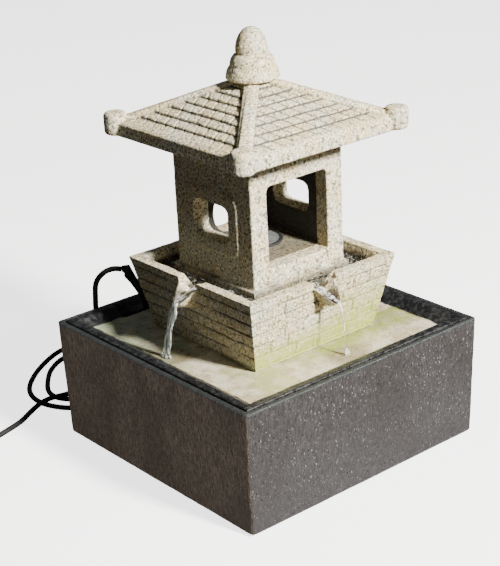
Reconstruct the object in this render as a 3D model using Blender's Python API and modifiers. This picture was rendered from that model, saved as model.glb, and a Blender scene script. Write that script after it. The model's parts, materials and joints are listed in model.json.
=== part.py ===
"""Table-top water fountain in the form of a stone pagoda lantern.

Frame: metres, +Z up, origin on the standing surface under the middle of the box.
-Y is the doorway side of the lantern, -X and +X are window sides, +Y is the cord side.
"""

from math import atan2, cos, hypot, pi, radians, sin

import bmesh
import bpy
from mathutils import Matrix, Vector

# ---------------------------------------------------------------- driving dimensions
GAP = 0.0003                 # clearance between touching pieces
MERGE = 0.00001              # distance at which a turned profile's ends are welded

PAD_RADIUS = 0.009
PAD_HEIGHT = 0.002
PAD_PLACE = 0.108            # pad centres, from the middle along X and Y

BOX_HALF_TOP = 0.130
BOX_HALF_FOOT = 0.1275
BOX_BASE_Z = PAD_HEIGHT + GAP
BOX_TOP_Z = 0.1104
BOX_FLOOR_Z = 0.0085
BOX_EDGE_RADIUS = 0.0035
CAVITY_HALF_FLOOR = 0.1165
CAVITY_HALF_TOP = 0.1195
LEDGE_Z = 0.0993             # the ledge that carries the tray

TRAY_HALF = 0.1241
TRAY_BASE_Z = LEDGE_Z + GAP
TRAY_TOP_Z = 0.1112
TRAY_FLOOR_Z = 0.104
TRAY_FLOOR_HALF = 0.1066
TRAY_RIM_INNER_HALF = 0.117
HOSE_PASSAGE_RADIUS = 0.009
LEAD_PASSAGE_RADIUS = 0.0035
LEAD_PASSAGE_Y = 0.018       # the light lead's hole, behind the hose's
DRAIN_RADIUS = 0.0035
DRAIN_X = (-0.030, 0.0, 0.030)
DRAIN_Y = 0.093
NOTCH_X = (-0.0735, -0.0365)  # cable notch in the tray's back rim
NOTCH_Y = 0.1055

BASIN_BASE_Z = TRAY_FLOOR_Z + GAP
BASIN_RIM_Z = 0.1703
BASIN_HALF_FOOT = 0.067
BASIN_HALF_RIM = 0.0809
BASIN_INNER_HALF_RIM = 0.0718
BASIN_INNER_HALF_FLOOR = 0.0665
BASIN_FLOOR_Z = 0.148
BASIN_HOLLOW_HALF_FOOT = 0.058
BASIN_HOLLOW_HALF_TOP = 0.061
BASIN_HOLLOW_Z = 0.142

SPOUT_HALF_WIDTH = 0.0165    # at the rim
SPOUT_TIP_HALF_WIDTH = 0.0052
SPOUT_REACH = 0.0936         # tip, from the middle of the basin
SPOUT_ROOT = 0.0745
SPOUT_TOP_Z = 0.1700
SPOUT_KEEL_Z = 0.1440
SPOUT_TIP_TOP_Z = 0.1540
SPOUT_TIP_KEEL_Z = 0.1500
CHANNEL_REACH = (0.0635, 0.0966)  # inner and outer end of the channel's cut
CHANNEL_HALF_WIDTH = (0.0217, 0.0016)
CHANNEL_EDGE_Z = (0.1792, 0.1522)  # where its sloping sides turn upright
CHANNEL_BOTTOM_Z = (0.1580, 0.1515)

CHAMBER_HALF = 0.0502
CHAMBER_INNER_HALF = 0.0352
CHAMBER_BASE_Z = BASIN_FLOOR_Z + GAP
CHAMBER_TOP_Z = 0.2790
CHAMBER_FLOOR_Z = 0.1800
CHAMBER_FLOOR_UNDER_Z = 0.1745
CHAMBER_WALL_BASE_Z = CHAMBER_FLOOR_Z + GAP
CHAMBER_EDGE_RADIUS = 0.0015
PLINTH_HALF = 0.0542
PLINTH_TOP_Z = 0.1655
DOOR_HALF = 0.0325
DOOR_TOP_Z = 0.2498
DOOR_CORNER = 0.004
FRAME_HALF = 0.0335
FRAME_BORDER = 0.0100        # height of the raised frame above and below its window
FRAME_PROUD = 0.0022
# side, turn about Z, half width, bottom and top, corner radius, frame's corner radius
WINDOWS = (
    ("left", 0, 0.0225, (0.1985, 0.2305), 0.0065, 0.0090),
    ("right", pi, 0.0225, (0.2050, 0.2305), 0.0065, 0.0090),
    ("back", -pi / 2, 0.0205, (0.1850, 0.2210), 0.0165, 0.0190),
)

ROOF_BASE_Z = CHAMBER_TOP_Z + GAP
EAVE_HALF = 0.0858
EAVE_TOP_Z = 0.2915
EAVE_EDGE = 0.0012
ROOF_APEX_HALF = 0.0135
ROOF_APEX_Z = 0.3240
ROOF_HOLLOW_HALF = 0.0400
ROOF_HOLLOW_Z = 0.3080
ROOF_SHOULDER_Z = 0.2860
HIP_HALF_WIDTH = 0.0050
HIP_PROUD = 0.0018
KNOB_RADIUS = 0.0100
KNOB_PLACE = 0.0822          # knob centres, from the middle along X and Y
KNOB_Z = (0.2798, 0.2992)

FINIAL_BASE_Z = ROOF_APEX_Z + GAP
FINIAL_TOP_Z = 0.3677
BULB_RADIUS = 0.0139
BULB_WIDE_Z = 0.3472
BULB_BASE_Z = 0.3458
MIDDLE_RING_RADIUS = 0.0188
MIDDLE_RING_Z = (0.3374, 0.3450)
BASE_RING_RADIUS = 0.0226
BASE_RING_Z = (0.3255, 0.3362)
RING_LEAN = 0.0034           # how far a ring leans in at its top
RING_GROOVE = 0.0018         # depth of the groove under a ring

# the light ring, hose and pump share one upright line, a little off the lantern's middle
FEED_PLACE = (0.0040, 0.0105)

RING_FLANGE_RADIUS = 0.0235
RING_BODY_RADIUS = 0.0212
RING_HOLE_RADIUS = 0.0215
RING_FLANGE_Z = (CHAMBER_FLOOR_Z + GAP, 0.1820)
RING_BASE_Z = 0.1735
GROOVE_RADII = (0.0080, 0.0202)
GROOVE_Z = 0.1763
OUTLET_TOP_Z = 0.1840
SPIGOT_RADIUS = 0.0063
SPIGOT_BORE = 0.0050
SPIGOT_BASE_Z = 0.1600
LED_COUNT = 6
LED_RADIUS = 0.0025
LED_CIRCLE = 0.0141

HOSE_INNER = 0.0066
HOSE_OUTER = 0.0081
HOSE_Z = (0.0545, RING_BASE_Z - GAP)

PUMP_AXIS_Z = 0.036
PUMP_BASE_Z = 0.0170
PUMP_TOP_Z = 0.0520
PUMP_X = (-0.0140, 0.0340)   # front and back of the housing
PUMP_HALF_Y = 0.0190
PUMP_BORE = 0.0062
PUMP_BORE_DEPTH = 0.0260
VOLUTE_RADIUS = 0.0105
VOLUTE_DEPTH = 0.0085
NOZZLE_BORE = 0.0045
NOZZLE_TOP_Z = 0.0660
COVER_DEPTH = 0.0110
COVER_WALL = 0.0020
GRILLE_SLOTS = 5
SHAFT_RADIUS = 0.0010
ROTOR_BORE = SHAFT_RADIUS + GAP
MAGNET_RADIUS = 0.0056
MAGNET_LENGTH = 0.0170
BLADE_COUNT = 6
BLADE_RADIUS = 0.0093
BLADE_ROOT = 0.0030
BLADE_HALF = 0.0006
BLADE_LENGTH = 0.0060
DIAL_RADIUS = 0.0050
DIAL_PLACE = (0.0105, 0.0455)  # Y and Z of the dial's axis
CUP_RADIUS = 0.0060

LEAD_RADIUS = 0.0016
CONNECTOR_RADIUS = 0.0040
CONNECTOR_SPLIT_Z = 0.0780
CONNECTOR_LENGTH = 0.0160

CORD_RADIUS = 0.0025
CORD_REST_Z = CORD_RADIUS + 0.0001
CORD_STEP = 0.0125           # spacing of the tube's points
COIL_RADIUS = 0.0275         # middle of the stored turns
COIL_HALF_WIDTH = 0.0052
COIL_HEIGHT = 0.0104
COIL_OUTER_TURN = 0.0301
COIL_CENTRE = (-0.2190, 0.1860)
PLUG_X = COIL_CENTRE[0] - COIL_OUTER_TURN
PLUG_Y = (0.2400, 0.2900)
PLUG_HALF_WIDTH = 0.0170
PLUG_HEIGHT = 0.0280
PLUG_CORD_Z = 0.0078
RELIEF_LENGTH = 0.0200
PIN_LENGTH = 0.0180
PIN_RADIUS = 0.0022
PIN_PLACE = 0.0095

# the sleeve over the two leads, from the tray's cable notch to the start of the main cord
SLEEVE_ROUTE = (
    (-0.0430, 0.1120, 0.0985),
    (-0.0433, 0.1120, 0.1055),
    (-0.0458, 0.1130, 0.1145),
    (-0.0495, 0.1150, 0.1225),
    (-0.0532, 0.1168, 0.1300),
    (-0.0562, 0.1190, 0.1362),
)
SLEEVE_RADII = (0.0047, 0.0045, 0.0040, 0.0037, 0.0040, 0.0048, 0.0044, 0.0032)
SLEEVE_END = 0.0045          # length of the sleeve's last stretch, in line with the cord

# the main cord: over the box's back wall, down it, two open turns on the ground, then away
CORD_ROUTE = (
    (-0.0615, 0.1220, 0.1416),
    (-0.0670, 0.1251, 0.1427),
    (-0.0725, 0.1282, 0.1416),
    (-0.0773, 0.1309, 0.1384),
    (-0.0809, 0.1330, 0.1335),
    (-0.0829, 0.1340, 0.1274),
    (-0.0836, 0.1346, 0.1150),
    (-0.0838, 0.1350, 0.1080),
    (-0.0834, 0.1352, 0.0900),
    (-0.0833, 0.1354, 0.0690),
    (-0.0838, 0.1362, 0.0480),
    (-0.0856, 0.1390, 0.0290),
    (-0.0900, 0.1452, 0.0140),
    (-0.0972, 0.1555, 0.0054),
    (-0.1070, 0.1690, CORD_REST_Z),
    (-0.1160, 0.1900, CORD_REST_Z),
    (-0.1145, 0.2130, CORD_REST_Z),
    (-0.1020, 0.2350, CORD_REST_Z),
    (-0.0740, 0.2600, CORD_REST_Z),
    (-0.0380, 0.2790, CORD_REST_Z),
    (-0.0050, 0.2780, CORD_REST_Z),
    (0.0200, 0.2600, CORD_REST_Z),
    (0.0270, 0.2300, CORD_REST_Z),
    (0.0160, 0.1990, CORD_REST_Z),
    (-0.0100, 0.1765, CORD_REST_Z),
    (-0.0450, 0.1660, CORD_REST_Z),
    (-0.0780, 0.1700, CORD_REST_Z),
    (-0.0975, 0.1860, CORD_REST_Z),
    (-0.0985, 0.2070, CORD_REST_Z),
    (-0.0840, 0.2310, CORD_REST_Z),
    (-0.0665, 0.2500, CORD_REST_Z),
    (-0.0440, 0.2620, CORD_REST_Z),
    (-0.0150, 0.2610, CORD_REST_Z),
    (0.0050, 0.2450, CORD_REST_Z),
    (0.0090, 0.2200, CORD_REST_Z),
    (-0.0040, 0.1970, CORD_REST_Z),
    (-0.0280, 0.1840, 0.0034),
    (-0.0540, 0.1790, 0.0062),
    (-0.0800, 0.1780, 0.0088),
    (-0.0980, 0.1800, 0.0092),
    (-0.1130, 0.1835, 0.0090),
    (-0.1240, 0.1850, 0.0062),
    (-0.1370, 0.1815, 0.0033),
    (-0.1510, 0.1740, CORD_REST_Z),
    (-0.1700, 0.1675, CORD_REST_Z),
    (-0.1939, 0.1612, CORD_REST_Z),
)
CORD_TAIL = (
    (PLUG_X, COIL_CENTRE[1] + 0.0190, PLUG_CORD_Z),
    (PLUG_X, PLUG_Y[0] - RELIEF_LENGTH - 2 * GAP, PLUG_CORD_Z),
)
PUMP_LEAD_ROUTE = (
    (0.0343, 0.0000, 0.0300),
    (0.0440, 0.0010, 0.0290),
    (0.0560, 0.0100, 0.0230),
    (0.0560, 0.0300, 0.0150),
    (0.0400, 0.0500, 0.0118),
    (0.0100, 0.0680, 0.0115),
    (-0.0250, 0.0860, 0.0150),
    (-0.0430, 0.1010, 0.0300),
    (-0.0452, 0.1105, 0.0550),
    (-0.0450, 0.1120, 0.0800),
    (-0.0450, 0.1120, 0.0982),
)
LIGHT_LEAD_ROUTE = (
    (0.0000, LEAD_PASSAGE_Y, CONNECTOR_SPLIT_Z - CONNECTOR_LENGTH - 2 * GAP),
    (0.0000, 0.0200, 0.0570),
    (0.0000, 0.0245, 0.0510),
    (-0.0020, 0.0290, 0.0400),
    (-0.0080, 0.0390, 0.0240),
    (-0.0200, 0.0600, 0.0190),
    (-0.0330, 0.0850, 0.0270),
    (-0.0400, 0.1010, 0.0420),
    (-0.0410, 0.1100, 0.0640),
    (-0.0410, 0.1120, 0.0830),
    (-0.0410, 0.1120, 0.0982),
)

# ---------------------------------------------------------------- scene and materials
for old in list(bpy.data.objects):
    bpy.data.objects.remove(old, do_unlink=True)

parts = bpy.data.collections.new("stone_lantern_fountain")
cutters = bpy.data.collections.new("cutters")
bpy.context.scene.collection.children.link(parts)
bpy.context.scene.collection.children.link(cutters)

feed_line = bpy.data.objects.new("feed_line", None)
feed_line.location = (*FEED_PLACE, 0)
parts.objects.link(feed_line)


def material(name, colour, roughness, metallic=0.0):
    made = bpy.data.materials.new(name)
    made.use_nodes = True
    shader = made.node_tree.nodes["Principled BSDF"]
    shader.inputs["Base Color"].default_value = (*colour, 1.0)
    shader.inputs["Roughness"].default_value = roughness
    shader.inputs["Metallic"].default_value = metallic
    return made


BOX_STONE = material("dark_cast_stone", (0.060, 0.052, 0.048), 0.55)
RIM_STONE = material("tray_cast_stone", (0.45, 0.41, 0.33), 0.70)
LANTERN_STONE = material("pale_cast_stone", (0.58, 0.54, 0.46), 0.80)
BLACK_PLASTIC = material("black_plastic", (0.02, 0.02, 0.02), 0.40)
BLACK_RUBBER = material("black_rubber", (0.02, 0.02, 0.02), 0.70)
CLEAR_PLASTIC = material("clear_plastic", (0.85, 0.88, 0.88), 0.10)
LED_RESIN = material("led_resin", (0.95, 0.93, 0.80), 0.15)
HOSE_VINYL = material("hose_vinyl", (0.75, 0.78, 0.78), 0.25)
MAGNET = material("magnet", (0.08, 0.08, 0.09), 0.45)
CERAMIC = material("ceramic", (0.88, 0.87, 0.84), 0.20)
PIN_METAL = material("pin_metal", (0.75, 0.72, 0.62), 0.25, 1.0)


# ---------------------------------------------------------------- modelling helpers
def new_object(name, data, finish, cutter=False):
    made = bpy.data.objects.new(name, data)
    if cutter:
        cutters.objects.link(made)
        made.hide_render = True
        made.display_type = "WIRE"
    else:
        parts.objects.link(made)
    if finish is not None:
        data.materials.append(finish)
    return made


def mesh_object(name, bm, finish=None, cutter=False):
    bmesh.ops.recalc_face_normals(bm, faces=bm.faces)
    mesh = bpy.data.meshes.new(name)
    bm.to_mesh(mesh)
    bm.free()
    return new_object(name, mesh, finish, cutter)


def tapered_block(name, half_low, half_high, z_low, z_high, finish=None, cutter=False, edge=0.0):
    """A square block, centred on Z, with its own half-width at the bottom and at the top."""
    bm = bmesh.new()
    bmesh.ops.create_cube(bm, size=2.0)
    for vert in bm.verts:
        low = vert.co.z < 0
        half = half_low if low else half_high
        vert.co = Vector((vert.co.x * half, vert.co.y * half, z_low if low else z_high))
    if edge:
        upright = [e for e in bm.edges if abs(e.verts[0].co.z - e.verts[1].co.z) > MERGE]
        bmesh.ops.bevel(bm, geom=upright, offset=edge, segments=3, profile=0.5, affect="EDGES")
    return mesh_object(name, bm, finish, cutter)


def block(name, low, high, finish=None, cutter=False):
    """An upright box between two corners."""
    bm = bmesh.new()
    bmesh.ops.create_cube(bm, size=1.0)
    for vert in bm.verts:
        vert.co = Vector(
            (high[i] if vert.co[i] > 0 else low[i] for i in range(3))
        )
    return mesh_object(name, bm, finish, cutter)


def cylinder(name, centre, radius, z_low, z_high, finish=None, cutter=False, sides=24):
    bm = bmesh.new()
    bmesh.ops.create_cone(
        bm, cap_ends=True, segments=sides, radius1=radius, radius2=radius, depth=z_high - z_low
    )
    bmesh.ops.translate(bm, verts=bm.verts, vec=(*centre, (z_low + z_high) / 2))
    return mesh_object(name, bm, finish, cutter)


def rod_x(name, x_low, x_high, y, z, radius, finish=None, cutter=False, sides=24):
    """A round rod along X whose origin sits on its own axis."""
    bm = bmesh.new()
    bmesh.ops.create_cone(
        bm, cap_ends=True, segments=sides, radius1=radius, radius2=radius, depth=x_high - x_low
    )
    bmesh.ops.rotate(bm, verts=bm.verts, matrix=Matrix.Rotation(pi / 2, 3, "Y"))
    made = mesh_object(name, bm, finish, cutter)
    made.location = ((x_low + x_high) / 2, y, z)
    return made


def turned(name, profile, finish=None, cutter=False, sides=32, centre=(0, 0), closed=False):
    """A turned solid: the profile of (radius, z) runs down the outer side, top to bottom."""
    mesh = bpy.data.meshes.new(name)
    count = len(profile)
    edges = [(i, i + 1) for i in range(count - 1)]
    if closed:
        edges.append((count - 1, 0))
    mesh.from_pydata([(r, 0, z) for r, z in profile], edges, [])
    made = new_object(name, mesh, finish, cutter)
    made.location = (*centre, 0)
    screw = made.modifiers.new("turn", "SCREW")
    screw.steps = sides
    screw.render_steps = sides
    screw.use_merge_vertices = True
    screw.merge_threshold = MERGE
    screw.use_smooth_shade = False
    return made


def cut(target, tool, operation="DIFFERENCE"):
    modifier = target.modifiers.new(tool.name, "BOOLEAN")
    modifier.operation = operation
    modifier.solver = "EXACT"
    modifier.object = tool


def join(target, tool):
    cut(target, tool, "UNION")


def rounded_plate(name, half, z_span, corner, near, far, turn, finish=None, cutter=False):
    """A plate with round corners, standing upright at a distance from the middle.

    It is drawn facing -X, between `near` and `far` from the middle, then turned about Z.
    """
    bm = bmesh.new()
    bmesh.ops.create_cube(bm, size=1.0)
    for vert in bm.verts:
        vert.co = Vector(
            (
                -far if vert.co.x < 0 else -near,
                half if vert.co.y > 0 else -half,
                z_span[1] if vert.co.z > 0 else z_span[0],
            )
        )
    along = [e for e in bm.edges if abs(e.verts[0].co.x - e.verts[1].co.x) > MERGE]
    bmesh.ops.bevel(bm, geom=along, offset=corner, segments=4, profile=0.5, affect="EDGES")
    bmesh.ops.rotate(bm, verts=bm.verts, matrix=Matrix.Rotation(turn, 3, "Z"))
    return mesh_object(name, bm, finish, cutter)


def loft(name, near, far, turn, finish=None, cutter=False):
    """A solid between two like outlines of (across, reach, z), drawn towards -Y and turned."""
    bm = bmesh.new()
    rings = [[bm.verts.new((a, -r, z)) for a, r, z in ring] for ring in (near, far)]
    bm.faces.new(rings[0])
    bm.faces.new(rings[1][::-1])
    count = len(near)
    for i in range(count):
        j = (i + 1) % count
        bm.faces.new((rings[0][i], rings[0][j], rings[1][j], rings[1][i]))
    bmesh.ops.rotate(bm, verts=bm.verts, matrix=Matrix.Rotation(turn, 3, "Z"))
    return mesh_object(name, bm, finish, cutter)


def smooth_points(route, step):
    """Points about `step` apart on one smooth curve through the route's own points."""
    knots = [Vector(p) for p in route]
    ends = [2 * knots[0] - knots[1], *knots, 2 * knots[-1] - knots[-2]]
    fine = []
    for a, b, c, d in zip(ends, ends[1:], ends[2:], ends[3:]):
        for i in range(16):
            t = i / 16
            fine.append(
                0.5 * (
                    2 * b + (c - a) * t + (2 * a - 5 * b + 4 * c - d) * t * t
                    + (3 * b - a - 3 * c + d) * t ** 3
                )
            )
    fine.append(knots[-1])
    travel = [0.0]
    for p, q in zip(fine, fine[1:]):
        travel.append(travel[-1] + (q - p).length)
    count = max(2, round(travel[-1] / step))
    picked = []
    k = 0
    for n in range(count + 1):
        goal = travel[-1] * n / count
        while k < len(travel) - 2 and travel[k + 1] < goal:
            k += 1
        span = travel[k + 1] - travel[k]
        picked.append(fine[k].lerp(fine[k + 1], (goal - travel[k]) / span if span else 0))
    return picked


def tube(name, points, radius, finish, radii=None, sides=2):
    """A round tube along a poly line, with filled ends."""
    curve = bpy.data.curves.new(name, "CURVE")
    curve.dimensions = "3D"
    curve.bevel_depth = radius
    curve.bevel_resolution = sides
    curve.use_fill_caps = True
    spline = curve.splines.new("POLY")
    spline.points.add(len(points) - 1)
    for i, point in enumerate(points):
        spline.points[i].co = (*point, 1.0)
        spline.points[i].radius = radii[i] / radius if radii else 1.0
    return new_object(name, curve, finish)


# ---------------------------------------------------------------- reservoir and tray
def lead_place():
    return FEED_PLACE[0], FEED_PLACE[1] + LEAD_PASSAGE_Y


def on_feed_line(make):
    """Runs a function that models round the Z axis, and moves what it made to the feed line."""
    known = set(bpy.data.objects)
    make()
    for made in set(bpy.data.objects) - known:
        made.parent = feed_line


def from_feed_line(route):
    """A lead's route: its start moves with the feed line, and its end stays at the cable notch."""
    last = len(route) - 1
    return [Vector(p) + Vector((*FEED_PLACE, 0)) * (1 - i / last) for i, p in enumerate(route)]


def make_reservoir():
    box = tapered_block(
        "reservoir_box", BOX_HALF_FOOT, BOX_HALF_TOP, BOX_BASE_Z, BOX_TOP_Z, BOX_STONE,
        edge=BOX_EDGE_RADIUS,
    )
    cavity = tapered_block(
        "box_cavity", CAVITY_HALF_FLOOR, CAVITY_HALF_TOP, BOX_FLOOR_Z, LEDGE_Z + 0.001, cutter=True
    )
    seat = tapered_block(
        "box_seat", TRAY_HALF + GAP, TRAY_HALF + GAP, LEDGE_Z, BOX_TOP_Z + 0.01, cutter=True
    )
    cut(box, cavity)
    cut(box, seat)


def make_pads():
    names = ("front_left", "front_right", "back_left", "back_right")
    places = ((-1, -1), (1, -1), (-1, 1), (1, 1))
    for name, (x, y) in zip(names, places):
        cylinder(
            f"foot_pad_{name}", (x * PAD_PLACE, y * PAD_PLACE), PAD_RADIUS, 0, PAD_HEIGHT,
            BLACK_RUBBER, sides=20,
        )


def make_tray():
    tray = tapered_block("stone_tray", TRAY_HALF, TRAY_HALF, TRAY_BASE_Z, TRAY_TOP_Z, RIM_STONE)
    slope = (TRAY_RIM_INNER_HALF - TRAY_FLOOR_HALF) / (TRAY_TOP_Z - TRAY_FLOOR_Z)
    over = 0.002
    dish = tapered_block(
        "tray_dish", TRAY_FLOOR_HALF, TRAY_RIM_INNER_HALF + slope * over, TRAY_FLOOR_Z,
        TRAY_TOP_Z + over, cutter=True,
    )
    cut(tray, dish)
    notch = block(
        "tray_cable_notch", (NOTCH_X[0], NOTCH_Y, TRAY_BASE_Z - over),
        (NOTCH_X[1], TRAY_HALF + over, TRAY_TOP_Z + over), cutter=True,
    )
    cut(tray, notch)
    bores = [(FEED_PLACE, HOSE_PASSAGE_RADIUS), (lead_place(), LEAD_PASSAGE_RADIUS)]
    bores += [((x, DRAIN_Y), DRAIN_RADIUS) for x in DRAIN_X]
    for i, (centre, radius) in enumerate(bores):
        bore = cylinder(
            f"tray_bore_{i + 1}", centre, radius, TRAY_BASE_Z - over, TRAY_FLOOR_Z + over,
            cutter=True, sides=20,
        )
        cut(tray, bore)


# ---------------------------------------------------------------- basin and lantern
def spout_section(half, reach, top, keel):
    """A spout's triangular outline at one reach."""
    return (-half, reach, top), (half, reach, top), (0, reach, keel)


def channel_section(half, reach, edge, bottom, top):
    """The channel's outline at one reach: a V with upright sides above it."""
    upright = (-half, reach, top), (half, reach, top)
    sloping = (half, reach, edge), (0, reach, bottom), (-half, reach, edge)
    return upright + sloping


def make_basin():
    basin = tapered_block(
        "brick_basin", BASIN_HALF_FOOT, BASIN_HALF_RIM, BASIN_BASE_Z, BASIN_RIM_Z, LANTERN_STONE
    )
    for name, turn in (("left", -pi / 2), ("front", 0)):
        near = spout_section(SPOUT_HALF_WIDTH, SPOUT_ROOT, SPOUT_TOP_Z, SPOUT_KEEL_Z)
        far = spout_section(SPOUT_TIP_HALF_WIDTH, SPOUT_REACH, SPOUT_TIP_TOP_Z, SPOUT_TIP_KEEL_Z)
        join(basin, loft(f"spout_{name}", near, far, turn, cutter=True))
    over = 0.003
    rise = (BASIN_INNER_HALF_RIM - BASIN_INNER_HALF_FLOOR) / (BASIN_RIM_Z - BASIN_FLOOR_Z)
    bowl = tapered_block(
        "basin_bowl", BASIN_INNER_HALF_FLOOR, BASIN_INNER_HALF_RIM + rise * over,
        BASIN_FLOOR_Z, BASIN_RIM_Z + over, cutter=True,
    )
    hollow = tapered_block(
        "basin_hollow", BASIN_HOLLOW_HALF_FOOT, BASIN_HOLLOW_HALF_TOP, BASIN_BASE_Z - over,
        BASIN_HOLLOW_Z, cutter=True,
    )
    cut(basin, bowl)
    cut(basin, hollow)
    for name, turn in (("left", -pi / 2), ("front", 0)):
        top = CHANNEL_EDGE_Z[0] + over
        near, far = (
            channel_section(half, reach, edge, bottom, top)
            for half, reach, edge, bottom in zip(
                CHANNEL_HALF_WIDTH, CHANNEL_REACH, CHANNEL_EDGE_Z, CHANNEL_BOTTOM_Z
            )
        )
        cut(basin, loft(f"channel_{name}", near, far, turn, cutter=True))
    passages = (("hose", FEED_PLACE, HOSE_PASSAGE_RADIUS), ("lead", lead_place(), LEAD_PASSAGE_RADIUS))
    for name, centre, radius in passages:
        bore = cylinder(
            f"basin_{name}_bore", centre, radius, BASIN_HOLLOW_Z - over, BASIN_FLOOR_Z + over,
            cutter=True, sides=20,
        )
        cut(basin, bore)


def make_chamber_base():
    base = tapered_block(
        "chamber_base", CHAMBER_HALF, CHAMBER_HALF, CHAMBER_BASE_Z, CHAMBER_FLOOR_Z, LANTERN_STONE
    )
    plinth = tapered_block(
        "chamber_plinth", PLINTH_HALF, PLINTH_HALF - 0.001, CHAMBER_BASE_Z, PLINTH_TOP_Z, cutter=True
    )
    join(base, plinth)
    over = 0.003
    under = tapered_block(
        "chamber_under", CHAMBER_INNER_HALF, CHAMBER_INNER_HALF, CHAMBER_BASE_Z - over,
        CHAMBER_FLOOR_UNDER_Z, cutter=True,
    )
    cut(base, under)
    light_hole = cylinder(
        "light_hole", FEED_PLACE, RING_HOLE_RADIUS, CHAMBER_FLOOR_UNDER_Z - over,
        CHAMBER_FLOOR_Z + over, cutter=True, sides=32,
    )
    cut(base, light_hole)


def make_chamber():
    chamber = tapered_block(
        "lantern_chamber", CHAMBER_HALF, CHAMBER_HALF, CHAMBER_WALL_BASE_Z, CHAMBER_TOP_Z,
        LANTERN_STONE, edge=CHAMBER_EDGE_RADIUS,
    )
    for name, turn, half, (low, high), corner, frame_corner in WINDOWS:
        frame = rounded_plate(
            f"window_frame_{name}", FRAME_HALF, (low - FRAME_BORDER, high + FRAME_BORDER), frame_corner,
            CHAMBER_HALF - 0.003, CHAMBER_HALF + FRAME_PROUD, turn, cutter=True,
        )
        join(chamber, frame)
    over = 0.003
    room = tapered_block(
        "chamber_room", CHAMBER_INNER_HALF, CHAMBER_INNER_HALF, CHAMBER_WALL_BASE_Z - over,
        CHAMBER_TOP_Z + over, cutter=True,
    )
    cut(chamber, room)
    for name, turn, half, span, corner, frame_corner in WINDOWS:
        window = rounded_plate(
            f"window_{name}", half, span, corner, CHAMBER_INNER_HALF - over,
            CHAMBER_HALF + FRAME_PROUD + over, turn, cutter=True,
        )
        cut(chamber, window)
    door = rounded_plate(
        "doorway", DOOR_HALF, (CHAMBER_FLOOR_Z - 2 * DOOR_CORNER, DOOR_TOP_Z), DOOR_CORNER,
        CHAMBER_INNER_HALF - over, CHAMBER_HALF + over, pi / 2, cutter=True,
    )
    cut(chamber, door)
    frame_foot = block(
        "window_frame_foot", (-CHAMBER_HALF, 0, CHAMBER_FLOOR_Z - FRAME_BORDER),
        (CHAMBER_HALF, CHAMBER_HALF + FRAME_PROUD + over, CHAMBER_WALL_BASE_Z), cutter=True,
    )
    cut(chamber, frame_foot)


def make_roof():
    root2 = 2 ** 0.5
    square = [
        (0.0, ROOF_APEX_Z),
        (ROOF_APEX_HALF, ROOF_APEX_Z),
        (EAVE_HALF - EAVE_EDGE, EAVE_TOP_Z),
        (EAVE_HALF, EAVE_TOP_Z - EAVE_EDGE),
        (EAVE_HALF, ROOF_BASE_Z + EAVE_EDGE),
        (EAVE_HALF - EAVE_EDGE, ROOF_BASE_Z),
        (ROOF_HOLLOW_HALF, ROOF_BASE_Z),
        (ROOF_HOLLOW_HALF, ROOF_SHOULDER_Z),
        (0.0, ROOF_HOLLOW_Z),
    ]
    roof = turned("hip_roof", [(half * root2, z) for half, z in square], LANTERN_STONE, sides=4)
    roof.rotation_euler.z = pi / 4
    inner = Vector((ROOF_APEX_HALF * root2, 0, ROOF_APEX_Z - HIP_PROUD - GAP))
    outer = Vector((KNOB_PLACE * root2, 0, EAVE_TOP_Z))
    run = outer - inner
    for i in range(4):
        quarter = pi / 4 + i * pi / 2
        bm = bmesh.new()
        bmesh.ops.create_cube(bm, size=1.0)
        for vert in bm.verts:
            end = outer if vert.co.x > 0 else inner
            lift = HIP_PROUD if vert.co.z > 0 else -HIP_PROUD
            side = HIP_HALF_WIDTH * (1 if vert.co.x > 0 else 0.8)
            vert.co = Vector((end.x, side if vert.co.y > 0 else -side, end.z + lift))
        tops = [e for e in bm.edges if min(v.co.z - v.co.x * run.z / run.x for v in e.verts)
                > inner.z - inner.x * run.z / run.x and abs(e.verts[0].co.x - e.verts[1].co.x) > MERGE]
        bmesh.ops.bevel(bm, geom=tops, offset=0.0018, segments=2, profile=0.5, affect="EDGES")
        bmesh.ops.rotate(bm, verts=bm.verts, matrix=Matrix.Rotation(quarter, 3, "Z"))
        join(roof, mesh_object(f"hip_{i + 1}", bm, cutter=True))
        sx = 1 if cos(quarter) > 0 else -1
        sy = 1 if sin(quarter) > 0 else -1
        edge = 0.0032
        knob = turned(
            f"corner_knob_{i + 1}",
            [
                (0.0, KNOB_Z[1]),
                (KNOB_RADIUS - edge, KNOB_Z[1]),
                (KNOB_RADIUS - edge * 0.3, KNOB_Z[1] - edge * 0.3),
                (KNOB_RADIUS, KNOB_Z[1] - edge),
                (KNOB_RADIUS, KNOB_Z[0] + edge),
                (KNOB_RADIUS - edge * 0.3, KNOB_Z[0] + edge * 0.3),
                (KNOB_RADIUS - edge, KNOB_Z[0]),
                (0.0, KNOB_Z[0]),
            ],
            cutter=True, sides=16, centre=(sx * KNOB_PLACE, sy * KNOB_PLACE),
        )
        join(roof, knob)


def leaning_ring(radius, z_low, z_high, points=6):
    """The outer side of a ring that leans in towards its rounded top, from top to bottom."""
    side = []
    for i in range(points):
        share = i / (points - 1)
        side.append((radius - RING_LEAN * (1 - share) ** 2, z_high + (z_low - z_high) * share))
    return side


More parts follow.
